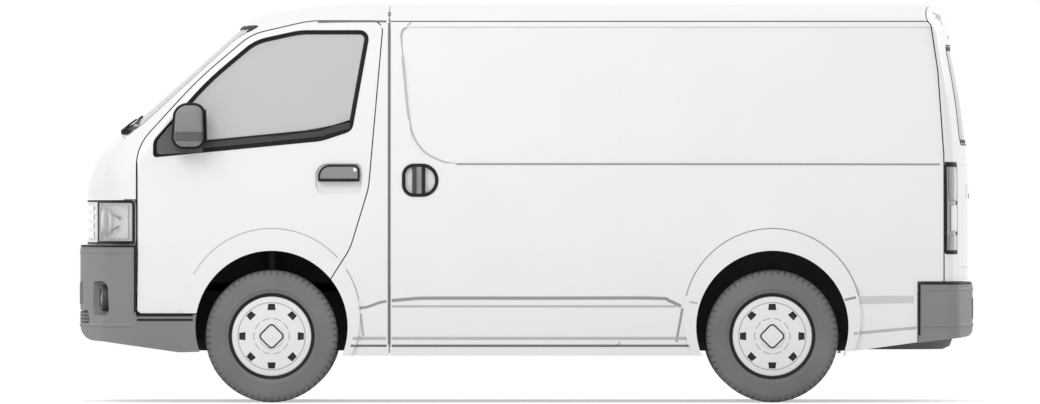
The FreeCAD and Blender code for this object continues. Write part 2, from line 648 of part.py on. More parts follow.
def plate_seat(bumper, face, inward, height):
    """Flat seat for a number plate with its two screw holes, at a bumper's face."""
    ends = sorted((face, face + inward * 16))
    beyond = sorted((face, face - inward * 50))
    seat = box(*ends, -260, 260, height - 56, height + 56)
    holes = []
    for y in (-mm.plate_screws / 2, mm.plate_screws / 2):
        holes.append(Part.makeCylinder(mm.plate_screw_radius, 14, V(face, y, height), V(inward, 0, 0)))
    clear = box(*beyond, -260, 260, height - 56, height + 56)
    return bumper.fuse(seat).cut([clear] + holes)


PLATE_BACK = 4.0
FRONT_FACE = FRONT_AXLE - mm.front_overhang + PLATE_BACK
REAR_FACE = REAR_AXLE + mm.rear_overhang - PLATE_BACK
sub_part("front_bumper", plate_seat(front_bumper, FRONT_FACE, 1, 560))
rear_edge = from_rear((744 + mm.seam, mm.rear_bumper_top, 20), (mm.rear_overhang, mm.rear_bumper_top, 35),
                      (mm.rear_overhang, 342, 50), (814, 314, 0), (744 + mm.seam, 306, 0))
rear_bumper = bumper_body.Shape.common(side_prism(rear_edge, -FAR, FAR)).cut(bumper_inner_body.Shape)
sub_part("rear_bumper", plate_seat(rear_bumper, REAR_FACE, -1, 480))

# Helpers for bodies whose sketches follow the sheet

def new_body(label, x="0", y="0", z="0"):
    """An empty body that stands at a place given by expressions."""
    body = doc.addObject("PartDesign::Body", label)
    body.Label = label
    for axis, text in zip("xyz", (x, y, z)):
        body.setExpression(f"Placement.Base.{axis}", bound(text))
    sub_parts.append(body)
    return body


def sketch_on(body, role, height="0"):
    """A sketch on one of the body's own planes, lifted by an expression."""
    sketch = body.newObject("Sketcher::SketchObject", body.Label + "_sketch")
    plane = [feature for feature in body.Origin.OriginFeatures if feature.Role == role][0]
    sketch.AttachmentSupport = [(plane, "")]
    sketch.MapMode = "FlatFace"
    sketch.setExpression("AttachmentOffset.Base.z", bound(height))
    return sketch


def polygon(sketch, corners):
    """Closed run of lines whose corners follow pairs of expressions."""
    places = [(number(across_text), number(up_text)) for across_text, up_text in corners]
    first = sketch.GeometryCount
    count = len(corners)
    for i in range(count):
        sketch.addGeometry(Part.LineSegment(V(*places[i], 0), V(*places[(i + 1) % count], 0)), False)
    for i in range(count):
        sketch.addConstraint(Sketcher.Constraint("Coincident", first + i, 2, first + (i + 1) % count, 1))
    for i, (texts, place) in enumerate(zip(corners, places)):
        for kind, text, value in zip(("DistanceX", "DistanceY"), texts, place):
            index = sketch.addConstraint(Sketcher.Constraint(kind, -1, 1, first + i, 1, value))
            sketch.setExpression(f"Constraints[{index}]", bound(text))


def circle(sketch, across_text, up_text, radius_text):
    place = (number(across_text), number(up_text))
    sketch.addGeometry(Part.Circle(V(*place, 0), V(0, 0, 1), number(radius_text)), False)
    index = sketch.GeometryCount - 1
    for kind, text, value in zip(("DistanceX", "DistanceY"), (across_text, up_text), place):
        constraint = sketch.addConstraint(Sketcher.Constraint(kind, -1, 1, index, 3, value))
        sketch.setExpression(f"Constraints[{constraint}]", bound(text))
    constraint = sketch.addConstraint(Sketcher.Constraint("Radius", index, number(radius_text)))
    sketch.setExpression(f"Constraints[{constraint}]", bound(radius_text))


def pad(body, sketch, length, midplane=False, reverse=False):
    feature = body.newObject("PartDesign::Pad", body.Label + "_pad")
    feature.Profile = sketch
    feature.setExpression("Length", bound(length))
    feature.Midplane = midplane
    feature.Reversed = reverse
    return feature


def revolve(body, sketch, axis="H_Axis"):
    feature = body.newObject("PartDesign::Revolution", body.Label + "_turned")
    feature.Profile = sketch
    feature.ReferenceAxis = (sketch, [axis])
    feature.Angle = 360
    return feature


def solid_box(name, corner, lengths):
    """Plain block: its low corner and its three lengths as expressions."""
    block = doc.addObject("Part::Box", name)
    for side_name, text in zip(("Length", "Width", "Height"), lengths):
        block.setExpression(side_name, bound(text))
    for axis, text in zip("xyz", corner):
        block.setExpression(f"Placement.Base.{axis}", bound(text))
    return block


def solid_bar(name, centre, radius, length, direction):
    """Plain cylinder from a centre of its foot, along one axis."""
    bar = doc.addObject("Part::Cylinder", name)
    bar.setExpression("Radius", bound(radius))
    bar.setExpression("Height", bound(length))
    bar.Placement.Rotation = FreeCAD.Rotation(V(0, 0, 1), direction)
    for axis, text in zip("xyz", centre):
        bar.setExpression(f"Placement.Base.{axis}", bound(text))
    return bar


def fused(label, pieces):
    whole = doc.addObject("Part::MultiFuse", label)
    whole.Label = label
    whole.Shapes = pieces
    sub_parts.append(whole)
    return whole


FRONT = "(front_overhang - wheelbase - rear_overhang) / 2"
REAR = "(front_overhang + wheelbase - rear_overhang) / 2"
ENDS = {"front": FRONT, "rear": REAR}
SIDES = {"left": "-1", "right": "1"}


# Wheels

def tyre(label, x, y):
    body = new_body(label, x, y, "tyre_diameter / 2")
    sketch = sketch_on(body, "YZ_Plane")
    outside = "tyre_diameter / 2"
    wide = "tyre_width / 2"
    bead = "rim_diameter / 2 - 12"
    between = "rim_width / 2 - 8 - seat_gap"
    half = [(between, bead), (between, "rim_diameter / 2 + seat_gap"), (f"{wide} - 14", "rim_diameter / 2 + 10"),
            (wide, "rim_diameter / 2 + 60"), (f"{wide} - 10", f"{outside} - 18"), (f"{wide} - 36", outside)]
    polygon(sketch, half + [(f"0 - ({across_text})", up_text) for across_text, up_text in reversed(half)])
    revolve(body, sketch)
    return body


def rim(label, x, y, turned):
    """Steel wheel with its cover; its outer side looks along +Y before it is turned."""
    body = new_body(label, x, y, "tyre_diameter / 2")
    body.Placement.Rotation = FreeCAD.Rotation(V(0, 0, 1), 180 if turned else 0)
    sketch = sketch_on(body, "YZ_Plane")
    edge = "rim_diameter / 2"
    wide = "rim_width / 2"
    seat = f"{edge} - 12 - seat_gap"
    stand = "cover_stand"
    boss = "stub_radius + seat_gap"
    polygon(sketch, [
        (f"0 - {wide}", edge), (f"7 - {wide}", edge), (f"8 - {wide}", seat), (f"{wide} - 8", seat),
        (f"{wide} - 7", edge), (wide, edge), (f"{wide} + 2", f"{edge} - 7"),
        (f"{stand} - 2", f"{edge} - 36"), (stand, f"{edge} - 80"), (f"{stand} + 2", "66"),
        (f"{stand} + 8", "60"), (f"{stand} + 8", "0"), (f"{stand} - 22", "0"), (f"{stand} - 22", boss),
        ("0 - 12", boss), ("0 - 12", "56"), (f"{stand} - 26", "56"), (f"{stand} - 10", "70"),
        (f"{stand} - 10", f"{edge} - 60"), (f"{wide} - 14", f"{edge} - 26"),
        (f"0 - {wide} + 10", f"{edge} - 22"), (f"0 - {wide}", f"{edge} - 8")])
    revolve(body, sketch)
    slot = sketch_on(body, "XZ_Plane", "0 - cover_stand - 20")
    polygon(slot, [("0 - 21", "slot_ring - 16"), ("21", "slot_ring - 16"),
                   ("17", "slot_ring + 16"), ("0 - 17", "slot_ring + 16")])
    pocket = body.newObject("PartDesign::Pocket", label + "_slot")
    pocket.Profile = slot
    pocket.Length = 60
    pocket.Reversed = True
    pattern = body.newObject("PartDesign::PolarPattern", label + "_slots")
    pattern.Originals = [pocket]
    axis = [feature for feature in body.Origin.OriginFeatures if feature.Role == "Y_Axis"][0]
    pattern.Axis = (axis, [""])
    pattern.Angle = 360
    pattern.setExpression("Occurrences", bound("slot_count"))
    body.Tip = pattern
    return body


for end, x in ENDS.items():
    for side_name, sign in SIDES.items():
        y = f"{sign} * track / 2"
        tyre(f"tyre_{end}_{side_name}", x, y)
        rim(f"rim_{end}_{side_name}", x, y, side_name == "left")


# Steering knuckles with their stub axles; outboard is along +Y before they are turned

def knuckle(label, sign, turned):
    body = new_body(label, FRONT, f"{sign} * (track / 2 - kingpin_inset)", "tyre_diameter / 2")
    body.Placement.Rotation = FreeCAD.Rotation(V(0, 0, 1), 180 if turned else 0)
    sketch = sketch_on(body, "XY_Plane", "0 - knuckle_half")
    polygon(sketch, [("0 - 28", "0 - 22"), ("28", "0 - 22"), ("28", "20"), ("0 - 28", "20")])
    circle(sketch, "0", "0", "kingpin_radius + seat_gap")
    pad(body, sketch, "2 * knuckle_half")
    stub = sketch_on(body, "XZ_Plane", "0 - 18")
    circle(stub, "0", "0", "stub_radius")
    pad(body, stub, "kingpin_inset + cover_stand - 24 - 18", reverse=True)
    plate = sketch_on(body, "XZ_Plane", "0 - 18")
    circle(plate, "0", "0", "knuckle_half")
    pad(body, plate, "6", reverse=True)
    arm = sketch_on(body, "XY_Plane", "0 - 40")
    reach = "0 - 140" if turned else "140"
    root = "0 - 22" if turned else "22"
    polygon(arm, [(root, "0 - 22"), (reach, "0 - 34"), (reach, "0 - 14"), (root, "10")])
    pad(body, arm, "22")
    return body


for side_name, sign in SIDES.items():
    knuckle(f"knuckle_{side_name}", sign, side_name == "left")

# Front suspension

pieces = [solid_box("cross_beam", (f"{FRONT} - 35", "0 - rail_gap / 2 - rail_width", "300"),
                    ("70", "rail_gap + 2 * rail_width", "70"))]
for side_name, sign in SIDES.items():
    kingpin_y = f"{sign} * (track / 2 - kingpin_inset)"
    low = f"min({sign} * rail_gap / 2; {sign} * (track / 2 - kingpin_inset + 22))"
    arm_length = "track / 2 - kingpin_inset + 22 - rail_gap / 2"
    pieces += [
        solid_box("lower_arm", (f"{FRONT} - 30", low, "tyre_diameter / 2 - knuckle_half - 32"),
                  ("60", arm_length, "26")),
        solid_box("upper_arm", (f"{FRONT} - 24", low, "tyre_diameter / 2 + knuckle_half + 6"),
                  ("48", arm_length, "22")),
        solid_bar("kingpin", (FRONT, kingpin_y, "tyre_diameter / 2 - knuckle_half - 16"),
                  "kingpin_radius", "2 * knuckle_half + 32", V(0, 0, 1)),
        solid_bar("damper", (FRONT, f"{sign} * 540", "tyre_diameter / 2 - knuckle_half - 16"),
                  "30", "520", V(0, 0, 1)),
        solid_box("hanger", (f"{FRONT} - 35", f"{sign} * (rail_gap / 2 + rail_width / 2) - rail_width / 2",
                             "tyre_diameter / 2 - knuckle_half - 32"), ("70", "rail_width", "rail_top - rail_height - 233")),
    ]
fused("front_suspension", pieces)

# Rear axle

half_tube = "(track / 2 - 62)"
pieces = [
    solid_bar("axle_tube", (REAR, f"0 - {half_tube}", "tyre_diameter / 2"), "axle_tube_radius",
              f"2 * {half_tube}", V(0, 1, 0)),
    solid_bar("axle_stub", (REAR, "0 - track / 2 - cover_stand + 24", "tyre_diameter / 2"), "stub_radius",
              "track + 2 * cover_stand - 48", V(0, 1, 0)),
    solid_bar("final_drive", (REAR, "0 - 80", "tyre_diameter / 2"), "115", "160", V(0, 1, 0)),
    solid_bar("pinion_nose", (f"{REAR} - 190", "0", "tyre_diameter / 2"), "50", "190", V(1, 0, 0)),
]
for side_name, sign in SIDES.items():
    pieces += [
        solid_bar("brake_plate", (REAR, f"{sign} * (track / 2 - 40) - 14", "tyre_diameter / 2"), "125", "28",
                  V(0, 1, 0)),
        solid_box("spring", (f"{REAR} - spring_half", f"{sign} * 470 - 30", "tyre_diameter / 2 + 43"),
                  ("2 * spring_half", "60", "26")),
        solid_box("spring_hanger", (f"{REAR} - spring_half", f"{sign} * (rail_gap / 4 + rail_width / 2 + 265) - 65",
                                    "tyre_diameter / 2 + 43"), ("40", "130", "80")),
        solid_box("spring_shackle", (f"{REAR} + spring_half - 40",
                                     f"{sign} * (rail_gap / 4 + rail_width / 2 + 265) - 65",
                                     "tyre_diameter / 2 + 43"), ("40", "130", "80")),
    ]
fused("rear_axle", pieces)

# Chassis rails and cross-members

rail_out = "(rail_gap / 2 + rail_width)"
rail_front = (f"({FRONT} - front_overhang + skin_depth + nose_bow"
              f" - sqrt(nose_bow ^ 2 - {rail_out} ^ 2) + seat_gap)")
rail_end = (f"({REAR} + rear_overhang - skin_depth - tail_bow"
            f" + sqrt(tail_bow ^ 2 - {rail_out} ^ 2) - seat_gap)")
SPARE_MIDDLE = "(rail_top - rail_height - 12 - spare_width / 2)"
pieces = []
for side_name, sign in SIDES.items():
    pieces.append(solid_box(
        "rail", (rail_front, f"{sign} * (rail_gap + rail_width) / 2 - rail_width / 2", "rail_top - rail_height"),
        (f"{rail_end} - ({rail_front})", "rail_width", "rail_height")))
    for place in (f"{FRONT} + jack_front", f"{REAR} - jack_rear"):
        pieces.append(solid_box(
            "jacking_pad", (f"{place} - 30", f"{sign} * (rail_gap + rail_width) / 2 - 25",
                            "rail_top - rail_height - jack_rise"), ("60", "50", "jack_rise + 2")))
for place in (f"{rail_front} + 30", f"{FRONT} - 330", f"{FRONT} + 980", f"{REAR} - 700", f"{REAR} + 360",
              f"{REAR} + 610", f"{rail_end} - 60"):
    pieces.append(solid_box("cross_member", (place, "0 - rail_gap / 2 - 1", "rail_top - rail_height + 20"),
                            ("60", "rail_gap + 2", "rail_height - 40")))
pieces.append(solid_bar("spare_hanger", (f"{REAR} + 640", "0", f"{SPARE_MIDDLE} + 10 + seat_gap"), "12",
                        f"rail_top - rail_height + 40 - ({SPARE_MIDDLE} + 10 + seat_gap)", V(0, 0, 1)))
fused("chassis_rails", pieces)

# Engine, gearbox and propeller shaft

pieces = [
    solid_box("engine", (f"{FRONT} - 60", "0 - engine_width / 2", "engine_foot"),
              ("engine_length", "engine_width", "engine_height")),
    solid_bar("gearbox", (f"{FRONT} - 60 + engine_length", "0", "engine_foot + 95"), "75", "420", V(1, 0, 0)),
    solid_bar("gearbox_tail", (f"{FRONT} - 60 + engine_length", "0", "tyre_diameter / 2 + 20"), "70", "460",
              V(1, 0, 0)),
    solid_bar("propeller_shaft", (f"{FRONT} + engine_length + 360", "0", "tyre_diameter / 2"), "30",
              f"{REAR} - 190 - seat_gap - ({FRONT} + engine_length + 360)", V(1, 0, 0)),
    solid_box("engine_mount", (f"{FRONT} + 100", "seat_gap - rail_gap / 2", "rail_top - rail_height + 20"),
              ("60", "rail_gap - 2 * seat_gap", "50")),
]
fused("powertrain", pieces)

# Exhaust, tank and spare wheel

PIPE_HEIGHT = "(rail_top - rail_height - 72)"
pieces = [
    solid_bar("pipe", (f"{FRONT} + engine_length - 20", "0 - 250", PIPE_HEIGHT), "22",
              "wheelbase - engine_length - 662", V(1, 0, 0)),
    solid_bar("silencer", (f"{FRONT} + engine_length + 460", "0 - 250", PIPE_HEIGHT), "70", "480", V(1, 0, 0)),
    solid_bar("outlet", (f"{REAR} - 682", "0 - 224", PIPE_HEIGHT), "24", "466", V(0, -1, 0)),
    solid_box("strap", (f"{FRONT} + 1024", "0 - 260", PIPE_HEIGHT),
              ("12", "20", f"rail_top - rail_height + 20 - seat_gap - {PIPE_HEIGHT}")),
]
fused("exhaust", pieces)

tank = new_body("fuel_tank", f"{FRONT} + 900", "rail_gap / 2 + rail_width + seat_gap", "rail_top - seat_gap")
sketch = sketch_on(tank, "YZ_Plane")
polygon(sketch, [("0", "0"), ("tank_width", "0"), ("tank_width", "40 - tank_height"),
                 ("tank_width - 40", "0 - tank_height"), ("0", "0 - tank_height")])
pad(tank, sketch, "tank_length")

spare = new_body("spare_wheel", f"{REAR} + 640", "0", SPARE_MIDDLE)
sketch = sketch_on(spare, "XZ_Plane")
polygon(sketch, [
    ("0", "0 - 20"), ("rim_diameter / 2 - 10", "0 - 20"), ("rim_diameter / 2 - 4", "0 - spare_width / 2 + 12"),
    ("rim_diameter / 2 + 50", "0 - spare_width / 2"), ("tyre_diameter / 2 - 50", "0 - spare_width / 2 + 16"),
    ("tyre_diameter / 2 - 25", "0"), ("tyre_diameter / 2 - 50", "spare_width / 2 - 16"),
    ("rim_diameter / 2 + 50", "spare_width / 2"), ("rim_diameter / 2 - 4", "spare_width / 2 - 12"),
    ("rim_diameter / 2 - 10", "10"), ("0", "10")])
revolve(spare, sketch, "V_Axis")

# Floor: flat plate with a box under the seats, cut for the four wheels

plate_top = "rail_top + floor_thick"
floor = new_body("floor_pan")
sketch = sketch_on(floor, "XZ_Plane")
nose_x = f"{FRONT} - door_front - 70"
tail_x = f"{REAR} + 860"
polygon(sketch, [
    (nose_x, "rail_top"), (f"{FRONT} - box_front", "rail_top"),
    (f"{FRONT} - box_front", "box_top - floor_thick"),
    (f"{FRONT} + b_seam_reach - floor_thick", "box_top - floor_thick"),
    (f"{FRONT} + b_seam_reach - floor_thick", "rail_top"), (tail_x, "rail_top"), (tail_x, plate_top),
    (f"{FRONT} + b_seam_reach", plate_top), (f"{FRONT} + b_seam_reach", "box_top"),
    (f"{FRONT} - box_front - floor_thick", "box_top"),
    (f"{FRONT} - box_front - floor_thick", plate_top), (nose_x, plate_top)])
pad(floor, sketch, "2 * floor_half", midplane=True)
panel = sketch_on(floor, "XY_Plane", plate_top)
polygon(panel, [(f"{FRONT} + b_seam_reach + 95", "load_half"), (f"{REAR} + 700", "load_half"),
                (f"{REAR} + 700", "0 - load_half"), (f"{FRONT} + b_seam_reach + 95", "0 - load_half")])
pad(floor, panel, "load_rise")
for end, x in ENDS.items():
    for side_name, sign in SIDES.items():
        inner = f"{sign} * {end}_house_inner"
        outer = f"{sign} * (floor_half + 5)"
        room = "(house_radius + house_thick + seat_gap)"
        well = sketch_on(floor, "XY_Plane", "rail_top - 5")
        polygon(well, [(f"{x} - {room}", inner), (f"{x} + {room}", inner),
                       (f"{x} + {room}", outer), (f"{x} - {room}", outer)])
        pocket = floor.newObject("PartDesign::Pocket", f"well_{end}_{side_name}")
        pocket.Profile = well
        pocket.setExpression("Length", bound("box_top - rail_top - floor_thick + 5"))
        pocket.Reversed = True

for side_name, sign in SIDES.items():
    swing = sketch_on(floor, "XY_Plane", "rail_top - 5")
    circle(swing, f"{FRONT} - door_front + hinge_back", f"{sign} * (body_width / 2 - hinge_depth)",
           "hinge_back + door_gap")
    pocket = floor.newObject("PartDesign::Pocket", f"door_swing_{side_name}")
    pocket.Profile = swing
    pocket.setExpression("Length", bound("floor_thick + 10"))
    pocket.Reversed = True

# Wheelhouses

houses = []
for end, x in ENDS.items():
    for side_name, sign in SIDES.items():
        axle_x = {"front": FRONT_AXLE, "rear": REAR_AXLE}[end]
        inner = {"front": mm.front_house_inner, "rear": mm.rear_house_inner}[end]
        low, high = sorted((float(sign) * inner, float(sign) * mm.house_outer))
        wall_at = low if sign == "1" else high - mm.house_thick
        drum = across(mm.house_radius + mm.house_thick, axle_x, mm.arch_height, low, high)
        hollow = across(mm.house_radius, axle_x, mm.arch_height, low, high)
        wall = across(mm.house_radius + mm.house_thick, axle_x, mm.arch_height, wall_at, wall_at + mm.house_thick)
        wall = wall.common(box(-FAR, FAR, -FAR, FAR, mm.rail_top, FAR))
        curtain = drum.cut(hollow).common(box(-FAR, FAR, -FAR, FAR, mm.house_foot, FAR))
        houses.append(curtain.fuse(wall))
sub_part("wheelhouses", Part.makeCompound(houses))

# Bulkhead, dashboard, seats

bulkhead = lining.common(box(B_SEAM + 60, B_SEAM + 80, -FAR, FAR, mm.rail_top + mm.floor_thick, FAR))
sub_part("bulkhead", bulkhead)

dash_half = HALF_WIDTH - mm.hinge_depth - ARM_REACH - 30
dash_edge = from_front((-690, 1345, 0), (-520, 1300, 40), (-480, 1180, 30), (-560, 980, 20),
                       (-640, 980, 0), (-640, 1250 + mm.seat_gap, 0), (-742, 1250 + mm.seat_gap, 0), (-742, 1285, 0))
dash = side_prism(dash_edge, -dash_half, dash_half)
WHEEL = V(FRONT_AXLE - 345, -370, 1225)
COLUMN = V(-math.cos(math.radians(mm.steering_tilt)), 0, -math.sin(math.radians(mm.steering_tilt)))
HUB = 40.0
column = Part.makeCylinder(28, 330, WHEEL + COLUMN * (HUB + mm.seat_gap), COLUMN)
sub_part("dashboard", joined(dash, column))

wheel_ring = Part.makeTorus(mm.steering_diameter / 2 - 15, 15, WHEEL, COLUMN)
hub = Part.makeCylinder(45, HUB, WHEEL, COLUMN)
spokes = []
for turn in (90, 210, 330):
    spoke = Part.makeBox(mm.steering_diameter / 2 - 15, 36, 14, V(0, -18, 2))
    spoke.rotate(V(0, 0, 0), V(0, 0, 1), turn)
    spoke.Placement = FreeCAD.Placement(WHEEL, FreeCAD.Rotation(V(0, 0, 1), COLUMN)).multiply(spoke.Placement)
    spokes.append(spoke)
sub_part("steering_wheel", joined(wheel_ring, hub, *spokes))

SEAT_FOOT = mm.box_top + mm.seat_gap
seat_edges = {
    "cushion": from_front((-250, SEAT_FOOT, 20), (-250, 962, 50), (200, 942, 30), (200, SEAT_FOOT, 0)),
    "back": from_front((200 + mm.seat_gap, SEAT_FOOT, 0), (200 + mm.seat_gap, 960, 20), (340, 1490, 50),
                       (440, 1490, 30), (330, SEAT_FOOT, 20)),
}
seat_pieces = []
for low, high in ((-640, -120), (-60, 640)):
    for name, edge in seat_edges.items():
        seat_pieces.append(side_prism(edge, low, high))
sub_part("seats", Part.makeCompound(seat_pieces))

# Mirrors and handles on the front doors

mirror_edge = from_front((-510, 1296, 60), (-505, 1490, 60), (-455, 1538, 60), (-350, 1530, 50),
                         (-340, 1296, 60))
mirror = side_prism(mirror_edge, -mm.mirror_reach, 20 - HALF_WIDTH - mm.mirror_stand)
outer_rim = [edge for edge in mirror.Edges if edge.BoundBox.YMax < 1 - mm.mirror_reach]
mirror = mirror.makeFillet(mm.mirror_round, outer_rim)
stalk = box(FRONT_AXLE - 470, FRONT_AXLE - 380, -875, -800, 1250, 1340).cut(door_left)
stalk = stalk.cut(skin).fuse(mirror)
handle_edge = from_front((232, 1136, 18), (452, 1136, 18), (452, 1222, 18), (232, 1222, 18))
handle_grip = flare_body.Shape.common(side_prism(handle_edge, *LEFT)).cut(skin)
for side_name, turn in (("left", lambda shape: shape), ("right", right_of)):
    sub_part(f"door_trim_{side_name}", Part.makeCompound([turn(stalk), turn(handle_grip)]))

doc.recompute()

# Check every object, then write one file for each sub-part

for item in doc.Objects:
    if "Invalid" in item.State or "Error" in item.State:
        raise RuntimeError(f"{item.Label}: {item.State}")
for piece in sub_parts:
    if piece.Shape.isNull() or not piece.Shape.isValid() or not piece.Shape.Solids:
        raise RuntimeError(f"{piece.Label}: no valid solid")

os.makedirs("parts", exist_ok=True)
for piece in sub_parts:
    piece.Shape.exportStep(f"parts/{piece.Label}.step")
    print(f"{piece.Label}: {len(piece.Shape.Solids)} solids")
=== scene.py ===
import json
import math

import bmesh
import bpy
from mathutils import Matrix, Vector
from mathutils.bvhtree import BVHTree


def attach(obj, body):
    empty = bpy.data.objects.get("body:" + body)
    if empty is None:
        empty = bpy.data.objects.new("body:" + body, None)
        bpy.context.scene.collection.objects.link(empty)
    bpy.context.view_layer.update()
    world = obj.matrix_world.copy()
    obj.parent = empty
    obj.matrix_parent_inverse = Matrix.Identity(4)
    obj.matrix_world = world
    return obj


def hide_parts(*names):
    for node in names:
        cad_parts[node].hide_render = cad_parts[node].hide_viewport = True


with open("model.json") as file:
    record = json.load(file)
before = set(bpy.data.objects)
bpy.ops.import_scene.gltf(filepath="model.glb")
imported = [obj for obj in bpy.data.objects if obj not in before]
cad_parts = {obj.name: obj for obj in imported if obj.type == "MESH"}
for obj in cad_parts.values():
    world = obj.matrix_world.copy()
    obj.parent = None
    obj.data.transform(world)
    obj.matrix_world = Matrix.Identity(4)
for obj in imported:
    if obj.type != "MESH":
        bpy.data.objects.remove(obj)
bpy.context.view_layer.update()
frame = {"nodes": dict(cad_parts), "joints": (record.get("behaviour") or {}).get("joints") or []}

# Places taken from the frame; metres, nose towards -X, left side towards -Y

JOINTS = {joint["name"]: Vector(joint["pos_m"]) for joint in frame["joints"]}
FRONT = JOINTS["wheel_front_left"].x
REAR = JOINTS["wheel_rear_left"].x
AXLE_Z = JOINTS["wheel_front_left"].z
WHEEL_Y = -JOINTS["wheel_front_left"].y
HALF_WIDTH = 0.850
DOOR_EDGE = FRONT - 0.704
BOW = 4.5
BOW_MIDDLE = 0.9

TO_TAIL, TO_NOSE = Vector((1, 0, 0)), Vector((-1, 0, 0))
TO_RIGHT, TO_LEFT = Vector((0, 1, 0)), Vector((0, -1, 0))
UP = Vector((0, 0, 1))
OUTSIDE, AHEAD, BEHIND = -1.4, -3.2, 3.2


# Materials

mats = {}


def new_material(name, color, roughness, **sockets):
    """A node material, kept in mats; further sockets of its shader are set by name, as constants."""
    material = mats[name] = bpy.data.materials.new(name)
    material.use_nodes = True
    shader = material.node_tree.nodes["Principled BSDF"]
    shader.inputs["Base Color"].default_value = (*color, 1)
    shader.inputs["Roughness"].default_value = roughness
    for socket, value in sockets.items():
        shader.inputs[socket.replace("_", " ")].default_value = value
    return material


def node(material, kind, **values):
    made = material.node_tree.nodes.new(kind)
    for name, value in values.items():
        if name in made.inputs:
            made.inputs[name].default_value = value
        else:
            setattr(made, name, value)
    return made


def link(material, source, output, target, socket):
    material.node_tree.links.new(source.outputs[output], target.inputs[socket])


def noise(material, scale, detail=3.0, stretch=(1, 1, 1)):
    """Noise in the object's own coordinates."""
    place = node(material, "ShaderNodeTexCoord")
    mapping = node(material, "ShaderNodeMapping", Scale=stretch)
    texture = node(material, "ShaderNodeTexNoise", Scale=scale, Detail=detail)
    link(material, place, "Object", mapping, "Vector")
    link(material, mapping, "Vector", texture, "Vector")
    return texture


def vary_color(material, texture, color, spread):
    """Base colour that drifts a little either way."""
    ramp = node(material, "ShaderNodeValToRGB")
    for element, share in zip(ramp.color_ramp.elements, (1 - spread, 1 + spread)):
        element.color = (*[min(c * share, 1) for c in color], 1)
    ramp.color_ramp.elements[0].position = 0.3
    ramp.color_ramp.elements[1].position = 0.7
    link(material, texture, "Fac", ramp, "Fac")
    link(material, ramp, "Color", material.node_tree.nodes["Principled BSDF"], "Base Color")


def vary_roughness(material, texture, low, high):
    span = node(material, "ShaderNodeMapRange")
    span.inputs["To Min"].default_value = low
    span.inputs["To Max"].default_value = high
    link(material, texture, "Fac", span, "Value")
    link(material, span, "Result", material.node_tree.nodes["Principled BSDF"], "Roughness")


def add_bump(material, texture, output, strength, depth):
    bump = node(material, "ShaderNodeBump", Strength=strength, Distance=depth)
    link(material, texture, output, bump, "Height")
    link(material, bump, "Normal", material.node_tree.nodes["Principled BSDF"], "Normal")


def finish(name, color, roughness, grain, depth, spread=0.05, **sockets):
    """Material with a drifting colour, uneven gloss and a fine grain."""
    material = new_material(name, color, roughness, **sockets)
    vary_color(material, noise(material, 3.0), color, spread)
    vary_roughness(material, noise(material, 14.0), roughness * 0.85, min(roughness * 1.15, 1))
    add_bump(material, noise(material, grain, 2.0), "Fac", 0.5, depth)
    return material


def cells(name, color, roughness, size, depth, **sockets):
    """Moulded plastic with a leather-like cell grain."""
    material = finish(name, color, roughness, 60, 0.0001, **sockets)
    place = node(material, "ShaderNodeTexCoord")
    texture = node(material, "ShaderNodeTexVoronoi", Scale=1 / size)
    link(material, place, "Object", texture, "Vector")
    add_bump(material, texture, "Distance", 0.6, depth)
    return material


def woven(name, color, pitch):
    """Cloth with crossing ribs."""
    material = new_material(name, color, 0.9, Sheen_Weight=0.4, Sheen_Roughness=0.5)
    vary_color(material, noise(material, 250.0, 4.0), color, 0.25)
    place = node(material, "ShaderNodeTexCoord")
    waves = []
    for axis in ("X", "Z"):
        wave = node(material, "ShaderNodeTexWave", Scale=0.32 / pitch)
        wave.bands_direction = axis
        link(material, place, "Object", wave, "Vector")
        waves.append(wave)
    both = node(material, "ShaderNodeMath", operation="MULTIPLY")
    for index, wave in enumerate(waves):
        link(material, wave, "Fac", both, index)
    add_bump(material, both, "Value", 0.7, 0.0006)
    return material


PAINT = (0.89, 0.90, 0.90)
finish("paint", PAINT, 0.32, 900, 0.00002, 0.01, Coat_Weight=0.6, Coat_Roughness=0.06)
finish("inner_paint", (0.62, 0.63, 0.63), 0.5, 700, 0.00005, 0.03)
cells("bumper", (0.235, 0.237, 0.24), 0.55, 0.0016, 0.0003)
cells("dark_trim", (0.045, 0.046, 0.048), 0.5, 0.0012, 0.0002)
finish("black", (0.012, 0.012, 0.012), 0.6, 1500, 0.0001, Specular_IOR_Level=0.25)
finish("seal", (0.010, 0.010, 0.011), 0.6, 1200, 0.0001, Specular_IOR_Level=0.25)
finish("tyre", (0.185, 0.185, 0.187), 0.8, 700, 0.0003, 0.12)
finish("wheel", (0.84, 0.85, 0.86), 0.3, 900, 0.00002, 0.01, Coat_Weight=0.4)
finish("wheel_dark", (0.02, 0.02, 0.021), 0.5, 900, 0.0001)
finish("chassis", (0.022, 0.022, 0.024), 0.6, 220, 0.0005, 0.3)
finish("steel", (0.42, 0.41, 0.40), 0.4, 300, 0.0003, 0.15, Metallic=0.9)
finish("chrome", (0.85, 0.86, 0.87), 0.12, 400, 0.00001, 0.02, Metallic=1.0)
finish("liner", (0.021, 0.021, 0.022), 0.8, 400, 0.0006, 0.2)
cells("cab", (0.10, 0.102, 0.105), 0.6, 0.0018, 0.0003)
woven("cloth", (0.13, 0.135, 0.15), 0.004)
cells("sail", (0.105, 0.106, 0.108), 0.55, 0.0012, 0.0002)
cells("mirror_shell", (0.235, 0.237, 0.24), 0.5, 0.0012, 0.0002)
cells("handle", (0.26, 0.262, 0.265), 0.45, 0.0012, 0.0001)
finish("lamp_line", (0.30, 0.30, 0.31), 0.3, 600, 0.00003, 0.05)
finish("lamp_glass", (0.75, 0.74, 0.70), 0.08, 300, 0.00001, 0.02, Coat_Weight=1.0)
finish("steel_dark", (0.10, 0.10, 0.105), 0.45, 300, 0.0002, 0.15, Metallic=0.7)
